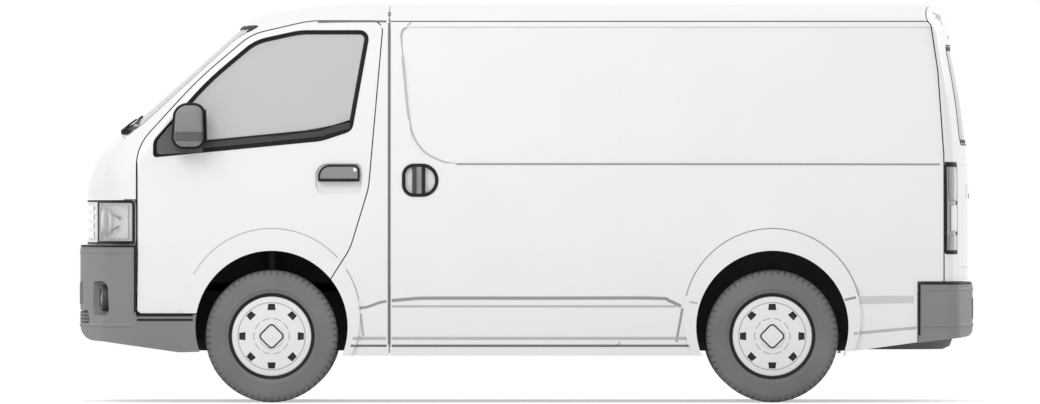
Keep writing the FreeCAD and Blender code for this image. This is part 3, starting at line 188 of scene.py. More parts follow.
cells("belt", (0.042, 0.043, 0.045), 0.6, 0.0012, 0.0002)
# Greys painted on as shade along the seams, gutters, creases, flares and swages of the sides
finish("painted_shade_dark", (0.17, 0.17, 0.172), 0.5, 900, 0.00003, 0.03)
finish("painted_shade_mid", (0.33, 0.33, 0.332), 0.5, 900, 0.00003, 0.03)
finish("painted_shade_soft", (0.52, 0.52, 0.522), 0.5, 900, 0.00003, 0.03)
finish("painted_shade_pale", (0.66, 0.66, 0.662), 0.45, 900, 0.00003, 0.03)
finish("plate", (0.78, 0.78, 0.76), 0.35, 900, 0.00003, 0.02, Coat_Weight=0.3)
finish("wheel_shade", (0.42, 0.42, 0.43), 0.4, 900, 0.00002, 0.02)
new_material("lamp_clear", (0.80, 0.82, 0.83), 0.06, Alpha=0.34, IOR=1.5, Coat_Weight=0.5)
finish("lamp_rear", (0.40, 0.37, 0.37), 0.15, 200, 0.0002, 0.08, Coat_Weight=0.8)
finish("lamp_white", (0.85, 0.86, 0.87), 0.15, 200, 0.0002, 0.02, Coat_Weight=0.8)
new_material("glass", (0.74, 0.745, 0.75), 0.05, Alpha=0.62, IOR=1.5, Coat_Weight=0.3)

# A faint smear keeps the panes from looking like a flat film
for pane in ("glass", "lamp_clear"):
    vary_roughness(mats[pane], noise(mats[pane], 6.0), 0.03, 0.10)

NODE_MATERIALS = {
    "paint": ("cab_frame", "cab_roof", "side_frame_left", "side_frame_right", "roof", "side_panel_left",
              "side_panel_right", "sliding_door_left", "sliding_door_right", "rear_frame", "door_left", "door_right",
              "tailgate", "bonnet", "grille"),
    "glass": ("windscreen", "door_glass_left", "door_glass_right", "tailgate_glass"),
    "bumper": ("front_bumper", "rear_bumper", "door_trim_left", "door_trim_right"),
    "lamp_clear": ("headlamps",),
    "lamp_rear": ("tail_lamps",),
    "tyre": ("tyre_front_left", "tyre_front_right", "tyre_rear_left", "tyre_rear_right", "spare_wheel"),
    "wheel": ("rim_front_left", "rim_front_right", "rim_rear_left", "rim_rear_right"),
    "chassis": ("chassis_rails", "powertrain", "fuel_tank", "front_suspension", "rear_axle",
                "knuckle_left", "knuckle_right"),
    "steel": ("exhaust",),
    "liner": ("wheelhouses",),
    "cab": ("dashboard", "steering_wheel"),
    "cloth": ("seats",),
    "inner_paint": ("bulkhead", "floor_pan"),
}
for look, names in NODE_MATERIALS.items():
    for name in names:
        slots = frame["nodes"][name].data.materials
        slots.clear()
        slots.append(mats[look])


# Making pieces

def new_object(name, data):
    thing = bpy.data.objects.new(name, data)
    bpy.context.scene.collection.objects.link(thing)
    return thing


def mesh_of(shape):
    """Mesh of a bmesh, which is freed."""
    mesh = bpy.data.meshes.new("mesh")
    shape.to_mesh(mesh)
    shape.free()
    return mesh


def piece(name, mesh, look, body, slot="bumper_plastic", smooth=30):
    """Adds a mesh as a named piece that rides on a body."""
    mesh.name = name
    thing = new_object(name, mesh)
    mesh.materials.clear()
    mesh.materials.append(mats[look])
    mesh.shade_smooth()
    mesh.set_sharp_from_angle(angle=math.radians(smooth))
    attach(thing, body)
    return thing


def mesh_from(vertices, faces):
    mesh = bpy.data.meshes.new("mesh")
    mesh.from_pydata([tuple(v) for v in vertices], [], faces)
    mesh.validate()
    return mesh


def mirrored(mesh):
    """The same mesh for the right side."""
    other = mesh.copy()
    other.transform(Matrix.Scale(-1, 4, (0, 1, 0)))
    other.flip_normals()
    return other


def pair(name, mesh, look, bodies, slot="bumper_plastic"):
    """The left piece and its mirror image on the right."""
    return [piece(f"{name}_left", mesh, look, bodies[0], slot),
            piece(f"{name}_right", mirrored(mesh), look, bodies[1], slot)]


DOORS = ("door_left", "door_right")
BOTH = ("body", "body")


def outline(corners, step=0.012):
    """Closed flat line from (across, up, corner radius), with arcs at its corners."""
    points = [Vector((a, b)) for a, b, radius in corners]
    line = []
    for i, (a, b, radius) in enumerate(corners):
        here = points[i]
        back = (points[i - 1] - here).normalized()
        ahead = (points[(i + 1) % len(points)] - here).normalized()
        if radius <= 0:
            line.append(here)
            continue
        half = back.angle(ahead) / 2
        reach = radius / math.tan(half)
        centre = here + (back + ahead).normalized() * (radius / math.sin(half))
        start = here + back * reach
        sweep = math.pi - 2 * half
        turn = math.copysign(1, back.x * ahead.y - back.y * ahead.x) * -1
        count = max(3, int(radius * sweep / step))
        for k in range(count + 1):
            spin = Matrix.Rotation(turn * sweep * k / count, 2)
            line.append(centre + spin @ (start - centre))
    return line


def spread(line, step=0.03):
    """The same line with its long straight runs divided."""
    dense = []
    for here, there in zip(line, line[1:] + line[:1]):
        count = max(1, int((there - here).length / step))
        dense += [here.lerp(there, k / count) for k in range(count)]
    return dense


def rectangle(x0, x1, z0, z1, radii, step=0.004, run=0.02):
    """Line round a rectangle, from its low corner at x0; radii is one corner radius or four."""
    radii = radii if isinstance(radii, tuple) else (radii,) * 4
    corners = zip((x0, x1, x1, x0), (z0, z0, z1, z1), radii)
    return spread(outline(list(corners), step), run)


def outward(line):
    """Unit normals of a closed flat line, pointing out of it."""
    area = sum(p.x * q.y - q.x * p.y for p, q in zip(line, line[1:] + line[:1]))
    turn = 1 if area > 0 else -1
    normals = []
    for i in range(len(line)):
        along = (line[(i + 1) % len(line)] - line[i - 1]).normalized()
        normals.append(Vector((along.y, -along.x)) * turn)
    return normals


def tree_of(*names):
    """Search tree over the meshes of some CAD nodes."""
    vertices, faces = [], []
    for name in names:
        mesh = frame["nodes"][name].data
        base = len(vertices)
        vertices += [v.co.copy() for v in mesh.vertices]
        faces += [[base + i for i in face.vertices] for face in mesh.polygons]
    return BVHTree.FromPolygons(vertices, faces)


def bowed(z):
    """Half width of the body at a height."""
    return HALF_WIDTH - BOW + math.sqrt(BOW ** 2 - (z - BOW_MIDDLE) ** 2)


LEFT_SKIN = tree_of("door_left", "door_glass_left", "side_frame_left", "side_panel_left", "sliding_door_left",
                    "rear_frame", "roof", "cab_roof", "tailgate", "cab_frame")
NOSE_SKIN = tree_of("cab_frame", "side_frame_left", "side_frame_right", "cab_roof", "windscreen", "bonnet",
                    "grille", "headlamps", "front_bumper")
TAIL_SKIN = tree_of("tailgate", "tailgate_glass", "rear_frame", "roof", "rear_bumper", "tail_lamps")


def on_left(x, z, rise=0.0, tree=LEFT_SKIN):
    """Point on the left side, at rise outside the surface."""
    hit = tree.ray_cast(Vector((x, OUTSIDE, z)), TO_RIGHT, 1.0)[0]
    y = hit.y if hit is not None and hit.y < -0.55 else -bowed(z)
    return Vector((x, y - rise, z))


def on_side(x, z, rise=0.0):
    """Point on the plain curved side, as it is without flares and hollows."""
    return Vector((x, -bowed(z) - rise, z))


def on_nose(y, z, rise=0.0, tree=NOSE_SKIN):
    hit = tree.ray_cast(Vector((AHEAD, y, z)), TO_TAIL, 2.6)[0]
    x = hit.x if hit is not None else FRONT - 0.9
    return Vector((x - rise, y, z))


def on_tail(y, z, rise=0.0, tree=TAIL_SKIN):
    hit = tree.ray_cast(Vector((BEHIND, y, z)), TO_NOSE, 2.6)[0]
    x = hit.x if hit is not None else REAR + 0.9
    return Vector((x + rise, y, z))


def lofted(rows, closed=False):
    """Skin over rows of points, each row a ring; an open run of rows gets flat ends."""
    count, width = len(rows), len(rows[0])
    faces = []
    for i in range(count if closed else count - 1):
        j = (i + 1) % count
        for k in range(width):
            m = (k + 1) % width
            faces.append((i * width + k, i * width + m, j * width + m, j * width + k))
    if not closed:
        last = (count - 1) * width
        faces += [tuple(range(width)), tuple(last + k for k in reversed(range(width)))]
    mesh = mesh_from([point for row in rows for point in row], faces)
    tidy_normals(mesh)
    return mesh


def strip(line, section, place, closed=True):
    """Bead that follows a flat line: section holds (offset out of the line, rise above the surface)."""
    normals = outward(line)
    rows = []
    for point, normal in zip(line, normals):
        row = []
        for offset, rise in section:
            spot = point + normal * offset
            row.append(place(spot.x, spot.y, rise))
        rows.append(row)
    return lofted(rows, closed)


def tidy_normals(mesh):
    shape = bmesh.new()
    shape.from_mesh(mesh)
    bmesh.ops.remove_doubles(shape, verts=shape.verts, dist=1e-6)
    bmesh.ops.recalc_face_normals(shape, faces=shape.faces)
    shape.to_mesh(mesh)
    shape.free()


def capped(rings, tip, foot):
    """Skin over rings of points: foot lists the face on the first, and the last is drawn to a tip."""
    count = len(rings[0])
    faces = [tuple(foot)]
    for k in range(len(rings) - 1):
        a, b = k * count, (k + 1) * count
        faces += [(a + i, a + (i + 1) % count, b + (i + 1) % count, b + i) for i in range(count)]
    last = (len(rings) - 1) * count
    faces += [(last + i, last + (i + 1) % count, last + count) for i in range(count)]
    mesh = mesh_from([point for ring in rings for point in ring] + [tip], faces)
    tidy_normals(mesh)
    return mesh


def plate(line, thick, place, rise=0.0, dome=0.0):
    """Thin plate that fills a flat line, lying on a surface, with a rounded rim."""
    middle = sum(line, Vector((0, 0))) / len(line)
    rings = []
    for share, lift in ((1.0, 0.0), (1.0, 0.7), (0.97, 1.0), (0.6, 1.0), (0.25, 1.0)):
        spots = [middle + (point - middle) * share for point in line]
        rings.append([place(spot.x, spot.y, rise + thick * lift + dome * (1 - share ** 2)) for spot in spots])
    return capped(rings, place(middle.x, middle.y, rise + thick + dome), reversed(range(len(line))))


def turned(profile, steps):
    """Surface of revolution about Y from (radius, y) points; the profile's ends are joined."""
    rows = []
    for s in range(steps):
        angle = 2 * math.pi * s / steps
        rows.append([(radius * math.cos(angle), y, radius * math.sin(angle)) for radius, y in profile])
    return lofted(rows, True)


def soft_box(size, round_by, levels=2):
    """Box with generously rounded edges, centred on its origin."""
    shape = bmesh.new()
    bmesh.ops.create_cube(shape, size=1.0)
    for vertex in shape.verts:
        vertex.co = Vector([c * s for c, s in zip(vertex.co, size)])
    bmesh.ops.bevel(shape, geom=list(shape.edges), offset=round_by, segments=2 + levels * 2, profile=0.5,
                    affect="EDGES")
    return mesh_of(shape)


def join_meshes(meshes):
    shape = bmesh.new()
    for mesh in meshes:
        shape.from_mesh(mesh)
    return mesh_of(shape)


def moved(mesh, x=0.0, y=0.0, z=0.0, turn=0.0, axis="Y"):
    copy = mesh.copy()
    copy.transform(Matrix.Translation((x, y, z)) @ Matrix.Rotation(turn, 4, axis))
    return copy


# Camera, light and floor

VIEW_WIDTH = 5.350
VIEW_MIDDLE = (-0.0334, 1.0288)
LENS = 600.0
SENSOR = 36.0
NEAR_PLANE = -0.60
WORLD_LIGHT = 0.81
KEY_POWER = 200
FILL_POWER = 118
FLOOR_GLOW = 0.45


def add_camera():
    data = bpy.data.cameras.new("camera")
    data.lens = LENS
    data.sensor_width = SENSOR
    distance = VIEW_WIDTH * LENS / SENSOR
    data.clip_end = 2 * distance
    camera = new_object("camera", data)
    camera.location = (VIEW_MIDDLE[0], NEAR_PLANE - distance, VIEW_MIDDLE[1])
    camera.rotation_euler = (math.pi / 2, 0, 0)
    bpy.context.scene.camera = camera


def add_lamp(name, place, aim, size, power):
    data = bpy.data.lights.new(name, "AREA")
    data.energy = power
    data.size = size
    lamp = new_object(name, data)
    lamp.location = place
    lamp.rotation_euler = (Vector(aim) - Vector(place)).to_track_quat("-Z", "Y").to_euler()
    lamp.visible_camera = False


def add_world():
    """Light for surfaces at a strength, and plain white for eye, mirror and glass rays."""
    world = bpy.data.worlds.new("studio")
    world.use_nodes = True
    bpy.context.scene.world = world
    background = world.node_tree.nodes["Background"]
    background.inputs["Color"].default_value = (1, 1, 1, 1)
    paths = node(world, "ShaderNodeLightPath")
    seen = node(world, "ShaderNodeMath", operation="MAXIMUM")
    also = node(world, "ShaderNodeMath", operation="MAXIMUM")
    mix = node(world, "ShaderNodeMix", A=WORLD_LIGHT, B=1.0)
    link(world, paths, "Is Camera Ray", seen, 0)
    link(world, paths, "Is Transmission Ray", seen, 1)
    link(world, seen, 0, also, 0)
    link(world, paths, "Is Glossy Ray", also, 1)
    link(world, also, 0, mix, "Factor")
    link(world, mix, "Result", background, "Strength")


def add_floor():
    shape = bmesh.new()
    bmesh.ops.create_circle(shape, cap_ends=True, segments=96, radius=14.0)
    mesh = mesh_of(shape)
    floor = new_object("floor", mesh)
    floor.location = (0, 0, -0.001)
    material = new_material("floor", (0.80, 0.80, 0.80), 0.9, Emission_Color=(1, 1, 1, 1))
    vary_color(material, noise(material, 2.0), (0.80, 0.80, 0.80), 0.004)
    paths = node(material, "ShaderNodeLightPath")
    glow = node(material, "ShaderNodeMath", operation="MULTIPLY")
    glow.inputs[1].default_value = FLOOR_GLOW
    link(material, paths, "Is Camera Ray", glow, 0)
    link(material, glow, "Value", material.node_tree.nodes["Principled BSDF"], "Emission Strength")
    mesh.materials.append(material)


add_camera()
add_world()
add_lamp("key", (-4.0, -7.0, 6.5), (0, 0, 0.9), 4.0, KEY_POWER)
add_lamp("fill", (6.0, 6.0, 5.0), (0, 0, 0.9), 5.0, FILL_POWER)
add_floor()
bpy.context.scene.view_settings.view_transform = "Standard"


# Window seals on the front doors

def window_corners():
    return [(FRONT + x, z, radius) for x, z, radius in (
        (-0.607, 1.258, 0.015), (-0.607, 1.343, 0.060), (-0.330, 1.656, 1.500), (-0.088, 1.860, 0.250),
        (0.143, 1.911, 0.400), (0.506, 1.911, 0.045), (0.413, 1.394, 0.050), (0.257, 1.342, 0.300))]


def window_seals():
    line = spread(outline(window_corners()))
    section = ((0.001, 0.0), (0.0, 0.003), (-0.004, 0.004), (-0.012, 0.003), (-0.020, 0.002), (-0.022, 0.0))
    surround = strip(line, section, on_left)
    pair("window_seal", surround, "seal", DOORS)


def belt_seals():
    """Double rubber along the foot of the front door's window."""
    foot = [Vector((FRONT - 0.585, 1.280)), Vector((FRONT + 0.236, 1.362)), Vector((FRONT + 0.400, 1.406)),
            Vector((FRONT + 0.402, 1.438)), Vector((FRONT + 0.232, 1.393)), Vector((FRONT - 0.585, 1.311))]
    mesh = plate(spread(foot), 0.004, on_left, 0.002)
    pair("belt_seal", mesh, "belt", DOORS)
    line = [Vector((FRONT - 0.560 + 0.24 * k / 3, 1.318 + 0.0236 * k / 3)) for k in range(11)]
    line += [Vector((FRONT + 0.400, 1.444))]
    lip = strip(line, ((0.006, 0.002), (0.004, 0.007), (-0.004, 0.007), (-0.006, 0.002)), on_left, closed=False)
    pair("belt_lip", lip, "seal", DOORS)


window_seals()
belt_seals()

# Tyres

PITCHES = 60
BLOCK_SHARES = ((0.0, 0.0), (0.78, 0.0), (0.82, 1.0), (0.96, 1.0))
SLOT_DEPTH = 0.0065
SLANT = 9.0
SHOULDER = 0.078
MIDDLE_RIB = 0.015
TYRE_HALF = (
    # distance from the middle plane, radius, share of the slot's depth
    (0.0000, 0.3400, 0), (0.0120, 0.3398, 0), (0.0126, 0.3330, 0), (0.0184, 0.3330, 0), (0.0190, 0.3394, 1),
    (0.0420, 0.3386, 1), (0.0426, 0.3322, 0), (0.0484, 0.3320, 0), (0.0490, 0.3380, 1), (0.0680, 0.3345, 1),
    (0.0780, 0.3272, 1), (0.0850, 0.3160, 0.6), (0.0885, 0.3070, 0), (0.0893, 0.3040, 0), (0.0915, 0.2900, 0),
    (0.0924, 0.2640, 0), (0.0916, 0.2480, 0), (0.0922, 0.2460, 0), (0.0922, 0.2420, 0), (0.0900, 0.2400, 0),
    (0.0862, 0.2290, 0), (0.0820, 0.2210, 0), (0.0790, 0.2140, 0), (0.0765, 0.2075, 0), (0.0680, 0.2045, 0))


def tyre_mesh():
    """Tyre about the Y axis with ribs, slanted cross slots and ridged side walls."""
    half = list(TYRE_HALF)
    profile = [(-y, radius, slot) for y, radius, slot in reversed(half)] + half[1:]
    rows = []
    for pitch in range(PITCHES):
        for share, depth in BLOCK_SHARES:
            row = []
            for y, radius, slot in profile:
                shift = SLANT * min(abs(y), SHOULDER) + (0.5 if y < -MIDDLE_RIB else 0.0)
                angle = 2 * math.pi * (pitch + share + shift) / PITCHES
                reach = radius - SLOT_DEPTH * slot * depth
                row.append((reach * math.cos(angle), y, reach * math.sin(angle)))
            rows.append(row)
    return lofted(rows, True)


WHEELS = (("front_left", FRONT, 1), ("front_right", FRONT, -1), ("rear_left", REAR, 1), ("rear_right", REAR, -1))


def at_wheels(name, mesh, look, slot, replaced=None):
    """The same piece at every wheel; its mesh lies about the origin, outer side towards -Y."""
    for place, x, side in WHEELS:
        copy = mesh.copy() if side == 1 else mirrored(mesh)
        copy.transform(Matrix.Translation((x, -WHEEL_Y * side, AXLE_Z)))
        made = piece(f"{name}_{place}", copy, look, f"wheel_{place}", slot)
        if replaced is not None:
            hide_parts(f"{replaced}_{place}")


def ring_dashes(count, radius, width, share, y, thick):
    """Short raised arcs round the wheel, facing -Y."""
    meshes = []
    for k in range(count):
        rows = []
        for step in range(5):
            angle = 2 * math.pi * (k + share * (step / 4 - 0.5)) / count
            rows.append([(reach * math.cos(angle), depth, reach * math.sin(angle)) for reach, depth in (
                (radius - width / 2, y), (radius - width / 2, y - thick), (radius + width / 2, y - thick),
                (radius + width / 2, y))])
        meshes.append(lofted(rows))
    return join_meshes(meshes)


def square_ring(half, corner, width, y, thick, turn):
    """Rounded-square bead on the wheel cover, facing -Y."""
    line = outline([(half, half, corner), (-half, half, corner), (-half, -half, corner), (half, -half, corner)],
                   0.004)
    spin = Matrix.Rotation(turn, 2)
    line = [spin @ point for point in line]
    section = ((width / 2, 0.0), (width / 3, thick), (-width / 3, thick), (-width / 2, 0.0))
    return strip(line, section, lambda a, b, rise: Vector((a, y - rise, b)))


COVER_Y = -0.082


def wheel_details():
    at_wheels("tyre_tread", tyre_mesh(), "tyre", "tyre", "tyre")
    # Black ring in the gap between wheel cover and rim: painted shadow
    shadow = turned([(0.2035, -0.0745), (0.2045, -0.0790), (0.2130, -0.0818), (0.2205, -0.0840),
                     (0.2222, -0.0800), (0.2120, -0.0770)], 96)
    at_wheels("cover_gap_shadow", shadow, "black", "bumper_plastic")
    lip = turned([(0.1700, -0.0795), (0.1715, -0.0812), (0.1735, -0.0812), (0.1750, -0.0790)], 96)
    at_wheels("cover_lip", lip, "wheel_shade", "wheel")
    at_wheels("cover_dashes", ring_dashes(10, 0.091, 0.0045, 0.72, COVER_Y - 0.0003, 0.0012),
              "wheel_shade", "wheel")
    cap = square_ring(0.047, 0.020, 0.0085, COVER_Y - 0.0075, 0.0025, math.radians(45))
    at_wheels("cap_edge", cap, "wheel_dark", "wheel")
    hub = turned([(0.0, -0.0915), (0.012, -0.0930), (0.0150, -0.0912), (0.0260, -0.0912),
                  (0.0300, -0.0900), (0.0300, -0.0890), (0.0, -0.0890)], 48)
    at_wheels("cap_dome", hub, "wheel", "wheel")
    backs = turned([(0.126, -0.066), (0.126, -0.064), (0.172, -0.058), (0.172, -0.060)], 64)
    at_wheels("slot_shade", backs, "wheel_dark", "wheel")


wheel_details()


# Mirrors on the front doors

def pod(line, near, far, near_round, far_round, crown):
    """Solid with a side-view outline, from y = near out to y = far, its two rims rounded."""
    normals = outward(line)
    levels = []
    for k in range(5):
        angle = math.pi / 2 * k / 4
        levels.append((near - near_round * (1 - math.cos(angle)), near_round * (1 - math.sin(angle))))
    for k in range(8):
        angle = math.pi / 2 * k / 7
        levels.append((far + far_round * (1 - math.sin(angle)), far_round * (1 - math.cos(angle))))
    rings = [[(p.x - n.x * inset, y, p.y - n.y * inset) for p, n in zip(line, normals)] for y, inset in levels]
    middle = sum(line, Vector((0, 0))) / len(line)
    last = [point - normal * far_round for point, normal in zip(line, normals)]
    for share in (0.8, 0.5, 0.2):
        spots = [middle + (point - middle) * share for point in last]
        rings.append([(spot.x, far - crown * (1 - share ** 2), spot.y) for spot in spots])
    return capped(rings, (middle.x, far - crown, middle.y), range(len(line)))


def slab(mesh, low, high, grow):
    """The part of a closed mesh between two heights, grown a little about its middle."""
    shape = bmesh.new()
    shape.from_mesh(mesh)
    for height, up in ((low, -1), (high, 1)):
        parts = list(shape.verts) + list(shape.edges) + list(shape.faces)
        bmesh.ops.bisect_plane(shape, geom=parts, plane_co=(0, 0, height), plane_no=(0, 0, up), clear_outer=True)
        rim = [edge for edge in shape.edges if len(edge.link_faces) == 1]
        bmesh.ops.holes_fill(shape, edges=rim)
    middle = sum((v.co for v in shape.verts), Vector()) / len(shape.verts)
    for vertex in shape.verts:
        away = vertex.co - middle
        vertex.co += Vector((away.x, away.y, 0)).normalized() * grow
    cut = mesh_of(shape)
    tidy_normals(cut)
    return cut


MIRROR_NEAR, MIRROR_FAR = -0.880, -0.996


def mirror_line(inset):
    """The housing's outline in side view, drawn in by an inset."""
    line = outline([(FRONT - 0.516, 1.299, 0.062), (FRONT - 0.500, 1.537, 0.075), (FRONT - 0.338, 1.537, 0.060),
                    (FRONT - 0.330, 1.299, 0.066)], 0.006)
    return [point - normal * inset for point, normal in zip(line, outward(line))]


def door_mirrors():
    sail = outline([(FRONT - 0.588, 1.272, 0.014), (FRONT - 0.588, 1.340, 0.050), (FRONT - 0.490, 1.460, 0.050),
                    (FRONT - 0.340, 1.284, 0.010)])
    pair("mirror_sail", plate(spread(sail), 0.010, on_side, -0.004), "sail", DOORS)
    rear_shell = pod(mirror_line(0.0), MIRROR_NEAR, MIRROR_FAR + 0.052, 0.012, 0.006, 0.0)
    pair("mirror_back", rear_shell, "black", DOORS)
    shell = pod(mirror_line(0.0135), MIRROR_FAR + 0.060, MIRROR_FAR, 0.004, 0.036, 0.003)
    made = pair("mirror_shell", shell, "mirror_shell", DOORS)
    for thing, side in zip(made, ("left", "right")):
        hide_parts(f"door_trim_{side}")
    band = slab(shell, 1.340, 1.389, 0.0016)
    pair("mirror_band", band, "sail", DOORS)
    neck = soft_box((0.084, 0.052, 0.046), 0.012)
    pair("mirror_neck", moved(neck, FRONT - 0.430, -0.866, 1.330), "black", DOORS)
    glass = spread(outline([(-0.978, 1.330, 0.018), (-0.978, 1.500, 0.022), (-0.892, 1.500, 0.022),
                            (-0.892, 1.330, 0.018)], 0.004))

    def behind(y, z, rise):
        return Vector((FRONT - 0.3375 + 0.0060 - (z - 1.297) * 0.030 + rise, y, z))
    pair("mirror_glass", plate(glass, 0.002, behind, 0.001), "chrome", DOORS, "window_glass")
    rim = strip(glass, ((0.006, 0.0), (0.005, 0.004), (0.0, 0.004), (-0.002, 0.001)), behind)
    pair("mirror_rim", rim, "black", DOORS)


door_mirrors()


# Handles

def front_handles():
    corners = [(FRONT + 0.240, 1.134, 0.008), (FRONT + 0.240, 1.219, 0.060), (FRONT + 0.452, 1.219, 0.028),
               (FRONT + 0.452, 1.134, 0.008)]
    line = spread(outline(corners, 0.005), 0.02)
    flap = plate(line, 0.014, on_side, 0.001, 0.0015)
    pair("handle_flap", flap, "handle", DOORS)
    edge = strip(line, ((0.001, 0.0), (0.001, 0.0165), (-0.003, 0.0175), (-0.0085, 0.0170),
                        (-0.0100, 0.0150), (-0.0090, 0.0)), on_side)
    pair("handle_edge", edge, "black", DOORS)
    foot = spread(outline([(FRONT + 0.243, 1.136, 0.004), (FRONT + 0.243, 1.149, 0.006),
                           (FRONT + 0.449, 1.149, 0.006), (FRONT + 0.449, 1.136, 0.004)], 0.003), 0.02)
    pair("handle_foot", plate(foot, 0.0025, on_side, 0.0150), "black", DOORS)
    lock = turned([(0.0, -0.0035), (0.0080, -0.0035), (0.0095, -0.0028), (0.0105, -0.0005),
                   (0.0105, 0.0), (0.0, 0.0)], 32)
    x, z = FRONT + 0.4285, 1.192
    pair("door_lock", moved(lock, x, on_side(x, z, 0.0155).y, z), "chrome", DOORS, "steel")


def sliding_handles():
    corners = [(FRONT + 0.678, 1.064, 0.052), (FRONT + 0.848, 1.064, 0.074), (FRONT + 0.848, 1.217, 0.074),
               (FRONT + 0.678, 1.217, 0.052)]
    line = spread(outline(corners, 0.006), 0.02)
    bezel = strip(line, ((0.009, 0.0), (0.007, 0.006), (-0.004, 0.007), (-0.009, 0.002),
                         (-0.008, -0.004), (0.0, -0.004)), on_side)
    pair("slide_bezel", bezel, "black", BOTH)
    middle = FRONT + 0.756
    for name, x, half, look, rise in (("slide_grip", middle, 0.030, "handle", 0.004),
                                      ("slide_grip_front", middle - 0.023, 0.011, "dark_trim", 0.008),
                                      ("slide_grip_rear", middle + 0.024, 0.009, "black", 0.008)):
        bar = rectangle(x - half, x + half, 1.070, 1.211, 0.004, 0.003, 0.03)
        grip = plate(bar, 0.012 + rise, on_side, -0.012)
        pair(name, grip, look, BOTH)


front_handles()
sliding_handles()


# Beads and ridges

def framed(points, closed=False):
    """Each point with the direction across its line and its normal."""
    last = len(points) - 1
    for i, (point, away) in enumerate(points):
        ahead = points[(i + 1) % len(points) if closed else min(i + 1, last)][0]
        behind = points[i - 1 if closed else max(i - 1, 0)][0]
        yield point, away.cross(ahead - behind).normalized(), away


def bead(points, section, closed=False):
    """Bead along points: section holds (offset up, rise away from the surface); each point has its normal."""
    rows = [[point + up * offset + away * rise for offset, rise in section]
            for point, up, away in framed(points, closed)]
    return lofted(rows, closed)


def normals_of(points, inside):
    """Pairs of point and unit normal in plan, pointing away from inside."""
    pairs = []
    for i, point in enumerate(points):
        along = points[min(i + 1, len(points) - 1)] - points[max(i - 1, 0)]
        away = Vector((along.y, -along.x, 0)).normalized()
        if away.dot(point - inside) < 0:
            away = -away
        pairs.append((point, away))
    return pairs


def sideways(angle):
    """Level direction at an angle from -X towards -Y."""
    return Vector((-math.cos(angle), -math.sin(angle), 0))


def round_nose(z, tail_x, skin):
    """Line round the nose at a height, from the left side at tail_x to the right side."""
    middle = Vector((FRONT - 0.55, 0, z))
    left = []
    corner_y = -0.70
    for k in range(9):
        spot = skin.ray_cast(Vector((tail_x - 0.012 * k, OUTSIDE, z)), TO_RIGHT, 1.0)[0]
        if spot is not None and spot.y < -0.60:
            left.append(spot)
    if abs(left[0].y - left[1].y) > 0.02:
        left.pop(0)
    start = math.atan2(-(left[-1].y - corner_y), -(left[-1].x - (FRONT - 0.80)))
    for k in range(1, 12):
        aim = sideways(start * (1 - k / 12))
        spot = skin.ray_cast(Vector((FRONT - 0.80, corner_y, z)) + aim * 0.6, -aim, 0.7)[0]
        if spot is not None:
            left.append(spot)
    for y in [corner_y + 0.1 * k for k in range(7)]:
        left.append(on_nose(y, z, 0, skin))
    right = [Vector((v.x, -v.y, v.z)) for v in reversed(left)]
    return normals_of(left + [on_nose(0, z, 0, skin)] + right, middle)


def round_corner(pivot, z, first, last, skin, steps=24):
    """Line round an upright corner at a height; angles in degrees from -X towards -Y."""
    points = []
    for k in range(steps + 1):
        aim = sideways(math.radians(first + (last - first) * k / steps))
        spot = skin.ray_cast(Vector((*pivot, z)) + aim * 0.7, -aim, 0.8)[0]
        if spot is not None:
            points.append(spot)
    return normals_of(points, Vector((*pivot, z)))


def corner_place(pivot, skin, reach=0.24):
    """Places (distance round a corner, height) points on a skin; distance 0 faces -X."""
    def place(s, z, rise):
        aim = sideways(s / reach)
        for shift in (0.0, GAP_BRIDGE, -GAP_BRIDGE, 2 * GAP_BRIDGE, -2 * GAP_BRIDGE):
            start = Vector((*pivot, z + shift))
            spot = skin.ray_cast(start + aim * 0.7, -aim, 0.8)[0]
            if spot is not None:
                return Vector((spot.x, spot.y, z)) + aim * rise
        near = skin.find_nearest(Vector((*pivot, z)) + aim * reach)[0]
        return Vector((near.x, near.y, z)) + aim * rise
    return place


def ridge(points, half, height):
    """Soft raised line that fades out at both ends; points come with normals."""
    profile = ((-1.0, -0.5), (-1.0, 0.02), (-0.7, 0.35), (-0.35, 0.85), (0.0, 1.0), (0.35, 0.85), (0.7, 0.35),
               (1.0, 0.02), (1.0, -0.5))
    rows = []
    for i, (point, up, away) in enumerate(framed(points)):
        share = min(1.0, min(i, len(points) - 1 - i) / 3 + 0.15)
        rows.append([point + up * half * a * min(1, share * 1.4) + away * height * b * share for a, b in profile])
    return lofted(rows)


def tube(points, radius, sides=8):
    """Round bar along points, with flat ends."""
    rows = []
    for i, point in enumerate(points):
        along = (points[min(i + 1, len(points) - 1)] - points[max(i - 1, 0)]).normalized()
        side = along.cross(UP if abs(along.z) < 0.9 else TO_TAIL).normalized()
        up = side.cross(along)
        thick = radius[i] if isinstance(radius, (list, tuple)) else radius
        rows.append([point + (side * math.cos(a) + up * math.sin(a)) * thick
                     for a in [2 * math.pi * k / sides for k in range(sides)]])
    return lofted(rows)


GAP_BRIDGE = 0.006


def facing(tree, start, aim):
    """Point where a ray meets a skin, with the normal towards the ray's start; narrow gaps are bridged."""
    side = aim.cross(UP).normalized() * GAP_BRIDGE
    best = None
    for shift in (side * 0, side, -side, UP * GAP_BRIDGE, -UP * GAP_BRIDGE):
        hit, normal, _, distance = tree.ray_cast(start + shift, aim, 4.0)
        if hit is not None and (best is None or distance < best[2] - 0.012):
            best = (hit - shift, -normal if normal.dot(aim) > 0 else normal, distance)
    if best is None:
        near, normal = tree.find_nearest(start + aim * 1.2)[:2]
        best = (near, -normal if normal.dot(aim) > 0 else normal, 0)
    return best[:2]


GASKET = ((-0.0050, 0.0), (-0.0050, 0.0030), (-0.0030, 0.0045), (0.0030, 0.0045), (0.0050, 0.0030), (0.0050, 0.0))


# Nose

HEAD_PIVOT = (FRONT - 0.72, -0.62)
HEAD_SKIN = tree_of("headlamps")
HEAD_FRONT, HEAD_BACK = -30.5, 94.0
HEAD_FOOT, HEAD_TOP = 0.813, 1.039
HEAD_REACH = 0.24


def at_angle(degrees):
    return math.radians(degrees) * HEAD_REACH


